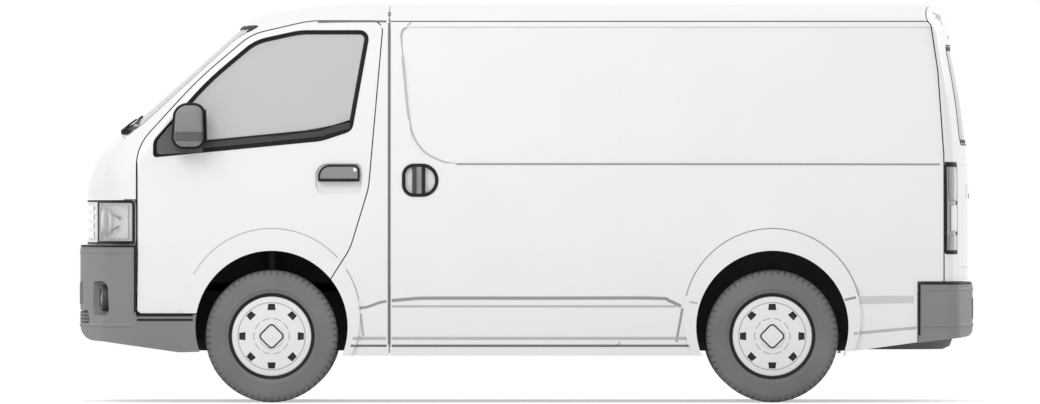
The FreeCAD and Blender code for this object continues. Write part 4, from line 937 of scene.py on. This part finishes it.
def lamp_at(x_from_axle, z=0.926):
    """Distance round the corner at which the lamp's skin has that X."""
    place = corner_place(HEAD_PIVOT, HEAD_SKIN, HEAD_REACH)
    low, high = at_angle(HEAD_FRONT), at_angle(HEAD_BACK)
    for _ in range(24):
        middle = (low + high) / 2
        if place(middle, z, 0).x < FRONT + x_from_axle:
            low = middle
        else:
            high = middle
    return (low + high) / 2


def headlamp_parts():
    place = corner_place(HEAD_PIVOT, HEAD_SKIN, HEAD_REACH)
    s0, s1 = at_angle(HEAD_FRONT), at_angle(HEAD_BACK)
    edge = rectangle(s0 + 0.002, s1, HEAD_FOOT + 0.004, HEAD_TOP - 0.004, (0.006, 0.012, 0.020, 0.006), 0.004, 0.012)
    gasket = strip(edge, ((0.004, 0.0), (0.003, 0.0035), (-0.008, 0.0040), (-0.011, 0.0)), place)
    pair("head_gasket", gasket, "seal", BOTH)
    inner = rectangle(s0 + 0.014, s1 - 0.006, HEAD_FOOT + 0.016, HEAD_TOP - 0.016, (0.010, 0.010, 0.014, 0.010),
                      0.006, 0.016)
    pair("head_back", plate(inner, 0.003, place, -0.030), "lamp_white", BOTH, "lamp_clear")
    lines = []
    for x, low, high, thick in ((-0.900, 0.836, 1.016, 0.0045), (-0.878, 0.832, 1.020, 0.0045),
                                (-0.850, 0.836, 1.014, 0.0040), (-0.733, 0.838, 1.012, 0.0045)):
        spot = lamp_at(x)
        points = [place(spot, low + (high - low) * k / 10, -0.004) for k in range(11)]
        lines.append(tube(points, thick, 6))
    ends = (lamp_at(-0.850), lamp_at(-0.733))
    for height in (0.838, 1.012):
        points = [place(ends[0] + (ends[1] - ends[0]) * k / 8, height, -0.004) for k in range(9)]
        lines.append(tube(points, 0.0030, 6))
    for (x0, z0), (x1, z1) in (((-0.842, 0.995), (-0.775, 0.944)), ((-0.850, 0.852), (-0.785, 0.902))):
        a0, a1 = lamp_at(x0), lamp_at(x1)
        points = [place(a0 + (a1 - a0) * k / 6, z0 + (z1 - z0) * k / 6, -0.005) for k in range(7)]
        lines.append(tube(points, [0.0030 + 0.0010 * k for k in range(7)], 6))
    pair("head_lines", join_meshes(lines), "lamp_line", BOTH, "lamp_clear")
    dish = [(0.0, 0.030), (0.016, 0.0285), (0.040, 0.021), (0.060, 0.009), (0.070, 0.0), (0.074, -0.001),
            (0.076, 0.003), (0.072, 0.012), (0.050, 0.026), (0.0, 0.034)]
    bulb = [(0.0, 0.004), (0.007, 0.006), (0.0095, 0.013), (0.009, 0.022), (0.013, 0.024), (0.013, 0.030),
            (0.0, 0.030)]
    bowls, bulbs = [], []
    for degrees, scale in ((-14, 0.92), (16, 0.80)):
        spot = place(at_angle(degrees), 0.926, -0.010)
        for profile, found in ((dish, bowls), (bulb, bulbs)):
            bowl = turned([(r * scale, y) for r, y in profile], 40)
            bowl.transform(Matrix.Rotation(-math.radians(90 - degrees * 0.55), 4, "Z"))
            found.append(moved(bowl, *spot))
    pair("head_bowls", join_meshes(bowls), "lamp_white", BOTH, "lamp_clear")
    pair("head_bulbs", join_meshes(bulbs), "lamp_glass", BOTH, "lamp_clear")


def nose_seams():
    """Black rubber between lamps, bonnet and bumper, right round the nose."""
    nose = tree_of("headlamps", "grille", "cab_frame", "side_frame_left", "side_frame_right")
    for name, z in (("nose_seal_top", 1.0335), ("nose_seal_foot", 0.8165)):
        mesh = bead(round_nose(z, DOOR_EDGE, nose), GASKET)
        piece(name, mesh, "seal", "body")


def grille_parts():
    fins = []
    for k in range(57):
        y = -0.42 + 0.015 * k
        points = [on_grille(y, 0.842 + 0.175 * i / 4, -0.030) for i in range(5)]
        fins.append(tube(points, 0.0016, 4))
    piece("radiator_fins", join_meshes(fins), "steel_dark", "body", "chassis")
    back = rectangle(-0.445, 0.445, 0.838, 1.022, 0.01, 0.012, 0.03)
    core = plate(back, 0.002, on_grille, -0.036)
    piece("radiator_back", core, "black", "body", "chassis")
    frame_line = rectangle(-0.436, 0.436, 0.843, 1.016, 0.012, 0.006, 0.03)
    surround = strip(frame_line, ((0.006, 0.0), (0.004, 0.004), (-0.002, 0.003), (-0.003, 0.0)), on_grille)
    piece("grille_frame", surround, "paint", "body", "paint")
    hole = spread(outline([(-0.492, 0.404, 0.020), (0.492, 0.404, 0.020), (0.454, 0.466, 0.020),
                           (-0.454, 0.466, 0.020)], 0.006), 0.03)
    back = plate(hole, 0.003, intake_place, -0.006)
    piece("intake_back", back, "black", "body")
    bars = [tube([intake_place(-0.470 + 0.02 * k, z, -0.001) for k in range(48)], 0.0030, 6)
            for z in (0.418, 0.435, 0.452)]
    for k in range(31):
        y = -0.45 + 0.03 * k
        bars.append(tube([intake_place(y, z, -0.002) for z in (0.408, 0.435, 0.462)], 0.0022, 5))
    piece("intake_grid", join_meshes(bars), "bumper", "body")


class Flat:
    """Stand-in skin that bridges the grille's slots, from rays at its solid bars."""

    BARS = (0.832, 0.884, 0.929, 0.974, 1.024)

    def __init__(self, tree):
        self.tree = tree

    def ray_cast(self, start, aim, reach):
        below = max([z for z in self.BARS if z <= start.z] or [self.BARS[0]])
        above = min([z for z in self.BARS if z >= start.z] or [self.BARS[-1]])
        spots = [self.tree.ray_cast(Vector((start.x, start.y, z)), aim, reach)[0] for z in (below, above)]
        if None in spots:
            return [None]
        share = (start.z - below) / (above - below) if above > below else 0
        return [spots[0].lerp(spots[1], min(max(share, 0), 1))]


GRILLE_SKIN = Flat(tree_of("grille"))
INTAKE_HEIGHTS = (0.390, 0.482)
BUMPER_SKIN = tree_of("front_bumper")


def on_grille(y, z, rise):
    return on_nose(y, z, rise, GRILLE_SKIN)


def intake_place(y, z, rise):
    """Point on the bumper's face as it would be without the intake."""
    below, above = [on_nose(y, height, 0, BUMPER_SKIN).x for height in INTAKE_HEIGHTS]
    share = (z - INTAKE_HEIGHTS[0]) / (INTAKE_HEIGHTS[1] - INTAKE_HEIGHTS[0])
    return Vector((below + (above - below) * share - rise, y, z))


def fog_lamps():
    y, z = -0.675, 0.536
    x = on_nose(y, 0.70, 0, BUMPER_SKIN).x
    bezel = turned([(0.050, -0.002), (0.053, -0.008), (0.066, -0.004), (0.070, 0.010), (0.070, 0.028),
                    (0.050, 0.028)], 48)
    lens = turned([(0.0, -0.009), (0.030, -0.006), (0.050, 0.0), (0.050, 0.004), (0.0, -0.003)], 48)
    bowl = turned([(0.0, 0.026), (0.025, 0.020), (0.042, 0.010), (0.049, 0.002), (0.050, 0.004),
                   (0.030, 0.026), (0.0, 0.028)], 48)
    for mesh, look, name, slot in ((bezel, "dark_trim", "fog_bezel", "bumper_plastic"),
                                   (lens, "lamp_clear", "fog_lens", "lamp_clear"),
                                   (bowl, "chrome", "fog_bowl", "lamp_clear")):
        mesh.transform(Matrix.Rotation(-math.radians(90 - 8), 4, "Z"))
        pair(name, moved(mesh, x + 0.018, y, z), look, BOTH, slot)


def bumper_lines():
    """Gaskets where the front bumper meets lamps and doors, and its lower crease."""
    top = round_nose(0.802, DOOR_EDGE, BUMPER_SKIN)
    piece("bumper_seal_front", bead(top, GASKET), "seal", "body")
    upright_line = [(on_left(FRONT - 0.7005, 0.462 + 0.346 * k / 12, 0.0, BUMPER_SKIN), TO_LEFT) for k in range(13)]
    pair("bumper_seal_side", bead(upright_line, GASKET), "seal", BOTH)
    # The black bead under the step top is painted shade of a groove
    for name, x, length, z, look in (("step_seal", -0.694, 0.290, 0.4475, "seal"),
                                     ("step_groove_shade", -0.690, 0.286, 0.424, "black")):
        step = [(on_left(FRONT + x + length * k / 8, z, 0.0, BUMPER_SKIN), TO_LEFT) for k in range(9)]
        pair(name, bead(step, GASKET), look, BOTH)
    for name, z, half, height in (("bumper_crease", 0.395, 0.010, 0.0045), ("bumper_brow", 0.770, 0.008, 0.0035)):
        line = round_nose(z, DOOR_EDGE, BUMPER_SKIN)
        piece(name, ridge(line, half, height), "bumper", "body")


SCREW = [(0.0, -0.0045), (0.004, -0.0042), (0.0062, -0.0022), (0.0062, 0.0), (0.0, 0.0)]


def number_plates():
    """Blank plates on their seats, with a screw at each hole."""
    for name, face, away, z in (("front_plate", "front_bumper", -1, 0.560), ("rear_plate", "rear_bumper", 1, 0.480)):
        skin = tree_of(face)
        seat = skin.ray_cast(Vector((BEHIND * away, 0.05, z)), TO_NOSE * away, 3.0)[0].x
        line = rectangle(-0.252, 0.252, z - 0.052, z + 0.052, 0.010, 0.004, 0.05)
        mesh = plate(line, 0.0022, lambda a, b, rise: Vector((seat + away * rise, a, b)))
        piece(name, mesh, "plate", "body", "paint")
        screws = []
        for y in (-0.150, 0.150):
            screw = turned(SCREW, 20)
            screw.transform(Matrix.Rotation(math.radians(90) * away, 4, "Z"))
            screws.append(moved(screw, seat + away * 0.0015, y, z))
        piece(name + "_screws", join_meshes(screws), "steel", "body", "steel")


SCREEN_SKIN = tree_of("windscreen")


def windscreen_parts():
    corners = [(-0.721, 1.409, 0.050), (0.721, 1.409, 0.050), (0.629, 1.925, 0.060), (-0.629, 1.925, 0.060)]
    points = [facing(SCREEN_SKIN, Vector((AHEAD, spot.x, spot.y)), TO_TAIL)
              for spot in spread(outline(corners, 0.008), 0.02)]
    section = ((-0.012, -0.003), (-0.011, 0.003), (-0.004, 0.0060), (0.016, 0.0060), (0.023, 0.004), (0.024, -0.006))
    piece("screen_seal", bead(points, section, True), "seal", "body")
    foot = spread(outline([(-0.650, 1.3765, 0.006), (0.650, 1.3765, 0.006), (0.655, 1.404, 0.008),
                           (-0.655, 1.404, 0.008)], 0.004), 0.03)
    piece("cowl_cover", plate(foot, 0.004, on_nose, 0.0005), "dark_trim", "body")
    slats = []
    for k in range(48):
        y = -0.60 + 0.0255 * k
        points = [on_nose(y, z, 0.0065) for z in (1.381, 1.390, 1.399)]
        slats.append(tube(points, 0.0028, 5))
    piece("cowl_slats", join_meshes(slats), "black", "body")
    for name, pivot, tip, height in (("wiper_left", -0.42, -0.02, 1.455), ("wiper_right", 0.14, 0.56, 1.455)):
        arm = [on_nose(pivot, 1.392, 0.010), on_nose(pivot + 0.01, 1.400, 0.030),
               on_nose((pivot + tip) / 2, (1.405 + height) / 2, 0.030), on_nose((pivot + 2 * tip) / 3, height, 0.022)]
        parts = [tube(arm, [0.010, 0.0075, 0.0055, 0.0045], 8)]
        blade = [on_nose(pivot - 0.05 + (tip - pivot + 0.10) * k / 14,
                         height - 0.022 + 0.040 * k / 14, 0.010) for k in range(15)]
        parts.append(tube(blade, [0.0035] + [0.0065] * 13 + [0.0035], 6))
        knob = turned([(0.0, -0.026), (0.010, -0.025), (0.014, -0.018), (0.015, 0.0), (0.0, 0.0)], 20)
        knob.transform(Matrix.Rotation(math.radians(-60), 4, "Z"))
        parts.append(moved(knob, *on_nose(pivot, 1.392, 0.002)))
        piece(name, join_meshes(parts), "black", "body")


headlamp_parts()
nose_seams()
grille_parts()
fog_lamps()
bumper_lines()
number_plates()
windscreen_parts()


# Seats

SEAT_FOOT = 0.8325
SWELL = 0.010
VOXEL = 0.012
CLOTH_STEPS = 20
SEAM_WIDTH, SEAM_DEPTH = 0.009, 0.007
PAD_INSET = 0.009


def as_it_is(thing):
    """Mesh of an object with its modifiers applied."""
    return bpy.data.meshes.new_from_object(thing.evaluated_get(bpy.context.evaluated_depsgraph_get()))


def swollen(name, mesh):
    """Padded form: remeshed, blown up a little as cloth, and flat where it rests on the seat box."""
    thing = new_object(name, mesh)
    scene = bpy.context.scene
    remesh = thing.modifiers.new("remesh", "REMESH")
    remesh.mode = "VOXEL"
    remesh.voxel_size = VOXEL
    even = as_it_is(thing)
    thing.modifiers.clear()
    thing.data = even
    start = [v.co.copy() for v in even.vertices]
    cloth = thing.modifiers.new("cloth", "CLOTH")
    cloth.settings.use_pressure = True
    cloth.settings.uniform_pressure_force = 4
    cloth.settings.effector_weights.gravity = 0
    cloth.point_cache.frame_start = 1
    cloth.point_cache.frame_end = CLOTH_STEPS
    for step in range(1, CLOTH_STEPS + 1):
        scene.frame_set(step)
    blown = as_it_is(thing)
    for vertex, home in zip(blown.vertices, start):
        away = vertex.co - home
        if away.length > SWELL:
            away *= SWELL / away.length
        vertex.co = home + away
    thing.modifiers.clear()
    thing.data = blown
    finer = thing.modifiers.new("finer", "SUBSURF")
    finer.levels = 1
    finer.render_levels = 1
    done = as_it_is(thing)
    bpy.data.objects.remove(thing)
    scene.frame_set(1)
    for vertex in done.vertices:
        vertex.co.z = max(vertex.co.z, SEAT_FOOT)
    return done


def sew(mesh, seams):
    """Presses sewn channels into a pad, along its middle planes at the given places across the van."""
    for vertex, bend in [(v, v.normal.copy()) for v in mesh.vertices]:
        across = vertex.co.y
        for seam in seams:
            share = math.exp(-((across - seam) / SEAM_WIDTH) ** 2)
            if share > 0.02:
                vertex.co -= bend * SEAM_DEPTH * share
    mesh.update()


def back_x(z, rear):
    """Front or rear face of a seat's back at a height, from the front axle."""
    if rear:
        return 0.330 + 0.110 * (z - 0.832) / 0.658
    return 0.200 + 0.140 * (z - 0.960) / 0.530


def seat_pad(name, corners, low, high, seams):
    line = spread(outline([(FRONT + x, z, r) for x, z, r in corners], 0.010), 0.03)
    block = pod(line, high, low, 0.030, 0.030, 0.0)
    mesh = swollen(name, block)
    sew(mesh, seams)
    made = piece(name, mesh, "cloth", "body", "seat_cloth", 60)
    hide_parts("seats")


def seats():
    cushion = ((-0.241, SEAT_FOOT, 0.020), (-0.241, 0.953, 0.055), (0.190, 0.932, 0.030), (0.190, SEAT_FOOT, 0.008))
    back = ((0.211, 0.846, 0.010), (back_x(0.960, False) + PAD_INSET, 0.960, 0.020),
            (back_x(1.345, False) + PAD_INSET, 1.345, 0.045), (back_x(1.345, True) - PAD_INSET, 1.345, 0.030),
            (back_x(0.846, True) - PAD_INSET, 0.846, 0.020))
    rest = ((back_x(1.372, False) + PAD_INSET, 1.372, 0.030), (back_x(1.481, False) + PAD_INSET, 1.481, 0.035),
            (back_x(1.481, True) - PAD_INSET, 1.481, 0.035), (back_x(1.372, True) - PAD_INSET, 1.372, 0.030))
    for name, low, high, seams, (near, far) in (
            ("driver", -0.631, -0.129, (-0.535, -0.38, -0.225), (-0.505, -0.255)),
            ("bench", -0.051, 0.631, (0.045, 0.175, 0.270, 0.400, 0.535), (0.330, 0.580))):
        seat_pad(f"{name}_cushion", cushion, low, high, seams)
        seat_pad(f"{name}_back", back, low, high, seams)
        seat_pad(f"{name}_headrest_1", rest, near, far, ((near + far) / 2,))
        x = FRONT + (back_x(1.36, False) + back_x(1.36, True)) / 2
        posts = [tube([Vector((x - 0.004, y, 1.330)), Vector((x + 0.004, y, 1.390))], 0.006, 12)
                 for y in (near + 0.07, far - 0.07)]
        piece(f"{name}_posts_1", join_meshes(posts), "chrome", "body", "steel")


seats()


# Sides

METRES_PER_PIXEL = 0.005144
AXLE_PIXEL = 272.1
GROUND_PIXEL = 402.0


def seen(px, py):
    """Side-view place of a pixel of the picture."""
    return (FRONT + (px - AXLE_PIXEL) * METRES_PER_PIXEL, (GROUND_PIXEL - py) * METRES_PER_PIXEL)


def through(points, step=0.02):
    """Smooth line through flat points."""
    spots = [Vector(p) for p in points]
    spots = [2 * spots[0] - spots[1]] + spots + [2 * spots[-1] - spots[-2]]
    line = []
    for a, b, c, d in zip(spots, spots[1:], spots[2:], spots[3:]):
        count = max(1, int((c - b).length / step))
        for k in range(count):
            t = k / count
            line.append(0.5 * (2 * b + (c - a) * t + (2 * a - 5 * b + 4 * c - d) * t * t
                               + (3 * b - a - 3 * c + d) * t ** 3))
    return line + [spots[-2]]


def ribbon(name, pixels, width, look, bodies, rise, bridge):
    """Narrow strip on both sides along places of the picture, mostly grey as painted shade of a pressed line or seam;
    bridge carries it over a seam below it.
    """
    points = []
    for spot in through([seen(*p) for p in pixels]):
        start = Vector((spot[0], OUTSIDE, spot[1]))
        if bridge:
            points.append(facing(LEFT_SKIN, start, TO_RIGHT))
            continue
        hit, normal = LEFT_SKIN.ray_cast(start, TO_RIGHT, 1.0)[:2]
        if hit is not None:
            points.append((hit, -normal if normal.y > 0 else normal))
    half = width / 2
    section = ((-half, -0.0015), (-half, rise * 0.6), (-half * 0.7, rise), (half * 0.7, rise), (half, rise * 0.6),
               (half, -0.0015))
    pair(name, bead(points, section), look, bodies, "paint")


def arc_pixels(middle, first, last, radius=88.1, height=317.0):
    """Pixels on an arc over a wheel, from one angle to another."""
    count = 24
    return [(middle + radius * math.cos(math.radians(first + (last - first) * k / count)),
             height - radius * math.sin(math.radians(first + (last - first) * k / count))) for k in range(count + 1)]


PANEL_LINE = ((411.4, 22.9), (407.6, 25.6), (403.3, 30.5), (401.4, 36.4), (402.2, 52.7), (404.4, 75.5),
              (406.6, 99.3), (408.4, 114.5), (410.9, 127.5), (414.7, 138.3), (420.1, 147.0), (426.6, 153.5),
              (434.2, 157.8), (445.0, 162.2), (455.9, 164.1))
SWAGE = ((392.0, 300.3), (410, 298.8), (429.5, 297.9), (540, 297.9), (653.4, 297.9), (668.3, 300.3), (680.7, 306.1))
# Grey strips of painted shade along the sides' seams, gutters, flares, swages and sill creases; the paint-coloured
# filler hides a seam
SIDE_LINES = (
    # name, width, look, places in the picture
    ("panel_line_front", 0.011, "painted_shade_soft", PANEL_LINE),
    ("panel_line_waist", 0.010, "painted_shade_mid", ((456.5, 164.2), (600, 164.2), (800, 164.3), (938.5, 164.5))),
    ("b_line", 0.015, "painted_shade_dark", ((389.5, 12.0), (389.5, 100), (389.5, 200), (389.5, 344.0))),
    ("gutter_line", 0.014, "painted_shade_dark", ((392.5, 21.6), (500, 21.6), (700, 21.6), (930, 21.8))),
    ("gutter_line_front", 0.014, "painted_shade_dark", ((318, 22.4), (350, 21.7), (386.5, 21.6))),
    ("slide_rear_filler", 0.0105, "paint", ((619.4, 24.5), (619.4, 100), (619.4, 200), (619.4, 341))),
    ("flare_front_door", 0.012, "painted_shade_soft", arc_pixels(AXLE_PIXEL, 151, 42)),
    ("flare_front_side", 0.012, "painted_shade_soft", arc_pixels(AXLE_PIXEL, 33, 11)),
    ("flare_rear", 0.011, "painted_shade_mid", arc_pixels(771.7, 166, 14)),
    ("swage_front", 0.014, "painted_shade_mid", ((357.4, 307.8), (367.3, 306.8), (379.8, 302.3), (386.8, 300.9))),
    ("swage_top", 0.017, "painted_shade_mid", SWAGE),
    ("swage_low", 0.012, "painted_shade_soft", ((392.0, 306.0), (540, 306.0), (676.0, 306.0))),
    ("swage_end_front", 0.012, "painted_shade_soft", ((361.0, 313.5), (363.6, 336.0))),
    ("swage_end_rear", 0.012, "painted_shade_mid", ((682.0, 308.0), (676.0, 341.5))),
    ("swage_tip", 0.010, "painted_shade_soft", ((685.0, 300.8), (697.0, 303.0))),
    ("sill_soft_front", 0.016, "painted_shade_soft", ((353.0, 338.0), (386.5, 338.0))),
    ("sill_soft", 0.016, "painted_shade_soft", ((392.0, 338.0), (540, 338.0), (690.0, 338.0))),
    ("sill_dark_front", 0.012, "painted_shade_dark", ((351.0, 345.4), (387.0, 345.4))),
    ("sill_dark", 0.012, "painted_shade_dark", ((392.0, 345.4), (540, 345.4), (690.0, 345.4))),
    ("tail_band_tip", 0.012, "painted_shade_mid", ((844.0, 299.6), (855.0, 297.0))),
    ("tail_band", 0.040, "painted_shade_pale", ((858.5, 300.0), (885, 299.4), (912.5, 299.2))),
    ("tail_wedge", 0.015, "painted_shade_soft", ((853.0, 333.2), (885, 330.2), (915.5, 327.4))),
)
OVER_SEAMS = ("b_line", "sill_dark")
RIBBON_RISE = 0.0009
FILLER_RISE = 0.0004
for name, width, look, pixels in SIDE_LINES:
    ribbon(name, pixels, width, look, DOORS if name == "flare_front_door" else BOTH,
           FILLER_RISE if look == "paint" else RIBBON_RISE, name in OVER_SEAMS)


# Inner walls that close the wheel arches below the floor

def splash_walls():
    foot = 0.264
    for name, axle, y in (("splash_front", FRONT, -0.440), ("splash_rear", REAR, -0.590)):
        parts = []
        for side in (-1, 1):
            rows = []
            for k in range(13):
                z = foot + (0.610 - foot) * k / 12
                inner, outer = [axle + side * math.sqrt(max(radius ** 2 - (z - AXLE_Z) ** 2, 0.0))
                                for radius in (0.285, 0.425)]
                rows.append([(x, y + thick, z) for x, thick in (
                    (inner, 0.002), (inner, -0.002), (outer, -0.002), (outer, 0.002))])
            parts.append(lofted(rows))
        pair(name, join_meshes(parts), "liner", BOTH, "chassis")


splash_walls()


# Tail

LAMP_PIVOT = (REAR + 0.870, -0.735)
LAMP_SKIN = tree_of("tail_lamps")
LAMP_REACH = 0.14


def lamp_angle(degrees):
    return math.radians(degrees) * LAMP_REACH


def rear_lamps():
    place = corner_place(LAMP_PIVOT, LAMP_SKIN, LAMP_REACH)
    s0, s1 = lamp_angle(98.5), lamp_angle(196.0)
    low, high = 0.761, 1.229
    edge = rectangle(s0, s1, low + 0.004, high - 0.004, (0.010, 0.006, 0.006, 0.010), 0.004, 0.012)
    section = ((0.004, 0.0), (0.003, 0.0040), (-0.012, 0.0045), (-0.016, 0.0))
    pair("tail_gasket", strip(edge, section, place), "seal", BOTH)
    for name, a0, a1, z0, z1, look in (("tail_upper", 112, 192, 1.034, 1.208, "lamp_rear"),
                                       ("tail_white", 118, 192, 0.876, 1.014, "lamp_white"),
                                       ("tail_lower", 112, 192, 0.782, 0.858, "lamp_rear")):
        pane = rectangle(lamp_angle(a0), lamp_angle(a1), z0, z1, 0.008, 0.004, 0.010)
        pair(name, plate(pane, 0.004, place, 0.0), look, BOTH, "lamp_rear")
        rim = strip(pane, ((0.002, 0.0), (0.002, 0.0045), (-0.002, 0.0050), (-0.003, 0.0)), place)
        pair(name + "_rim", rim, "lamp_line", BOTH, "lamp_rear")
    ribs = []
    for z in [1.046 + 0.0108 * k for k in range(15)] + [0.792 + 0.0112 * k for k in range(6)]:
        points = [place(lamp_angle(114 + 76 * i / 14), z, 0.0045) for i in range(15)]
        ribs.append(tube(points, 0.0016, 5))
    pair("tail_ribs", join_meshes(ribs), "lamp_rear", BOTH, "lamp_rear")


def rear_window_parts():
    corners = [(-0.560, 1.330, 0.060), (0.560, 1.330, 0.060), (0.500, 1.830, 0.060), (-0.500, 1.830, 0.060)]
    line = spread(outline(corners, 0.008), 0.025)
    section = ((0.010, 0.0), (0.008, 0.0025), (-0.002, 0.0040), (-0.014, 0.0040), (-0.020, 0.0025),
               (-0.020, -0.004))
    piece("tail_seal", strip(line, section, on_tail), "seal", "tailgate")


def tailgate_parts():
    bar = rectangle(-0.34, 0.34, 1.050, 1.118, (0.018, 0.018, 0.022, 0.022), 0.005, 0.03)
    piece("tail_garnish", plate(bar, 0.004, on_tail, 0.0, 0.001), "paint", "tailgate", "paint")
    grip = rectangle(-0.085, 0.085, 1.048, 1.074, (0.008, 0.008, 0.010, 0.010))
    piece("tail_grip", plate(grip, 0.002, on_tail, 0.0048), "black", "tailgate")
    stop = rectangle(-0.150, 0.150, 1.872, 1.894, 0.010)
    piece("stop_lamp", plate(stop, 0.004, on_tail, 0.0), "lamp_rear", "tailgate", "lamp_rear")
    for name, z in (("tail_crease", 0.700), ("tail_waist", 1.225)):
        hem = [(on_tail(-0.62 + 1.24 * k / 24, z), TO_TAIL) for k in range(25)]
        piece(name, ridge(hem, 0.012, 0.0040), "paint", "tailgate", "paint")


def rear_bumper_lines():
    skin = tree_of("rear_bumper")
    pivot = (REAR + 0.82, -0.66)

    def band(z):
        side = [(on_left(REAR + 0.752 + 0.015 * k, z, 0.0, skin), TO_LEFT) for k in range(6)]
        face = [(on_tail(-0.60 + 0.1 * k, z, 0.0, skin), TO_TAIL) for k in range(6)]
        left = side + round_corner(pivot, z, 100, 172, skin, 16) + face
        right = [(Vector((p.x, -p.y, p.z)), Vector((n.x, -n.y, n.z))) for p, n in reversed(left)]
        return left + [(on_tail(0.0, z, 0.0, skin), TO_TAIL)] + right
    for name, z, half, height in (("rear_crease", 0.395, 0.010, 0.0045), ("rear_brow", 0.580, 0.008, 0.0035)):
        piece(name, ridge(band(z), half, height), "bumper", "body")
    piece("rear_top_seal", bead(band(0.611), GASKET), "seal", "body")
    front = [(on_left(REAR + 0.7545, 0.345 + 0.265 * k / 10, 0.0, skin), TO_LEFT) for k in range(11)]
    pair("rear_front_seal", bead(front, GASKET), "seal", BOTH)


rear_lamps()
rear_window_parts()
tailgate_parts()
rear_bumper_lines()
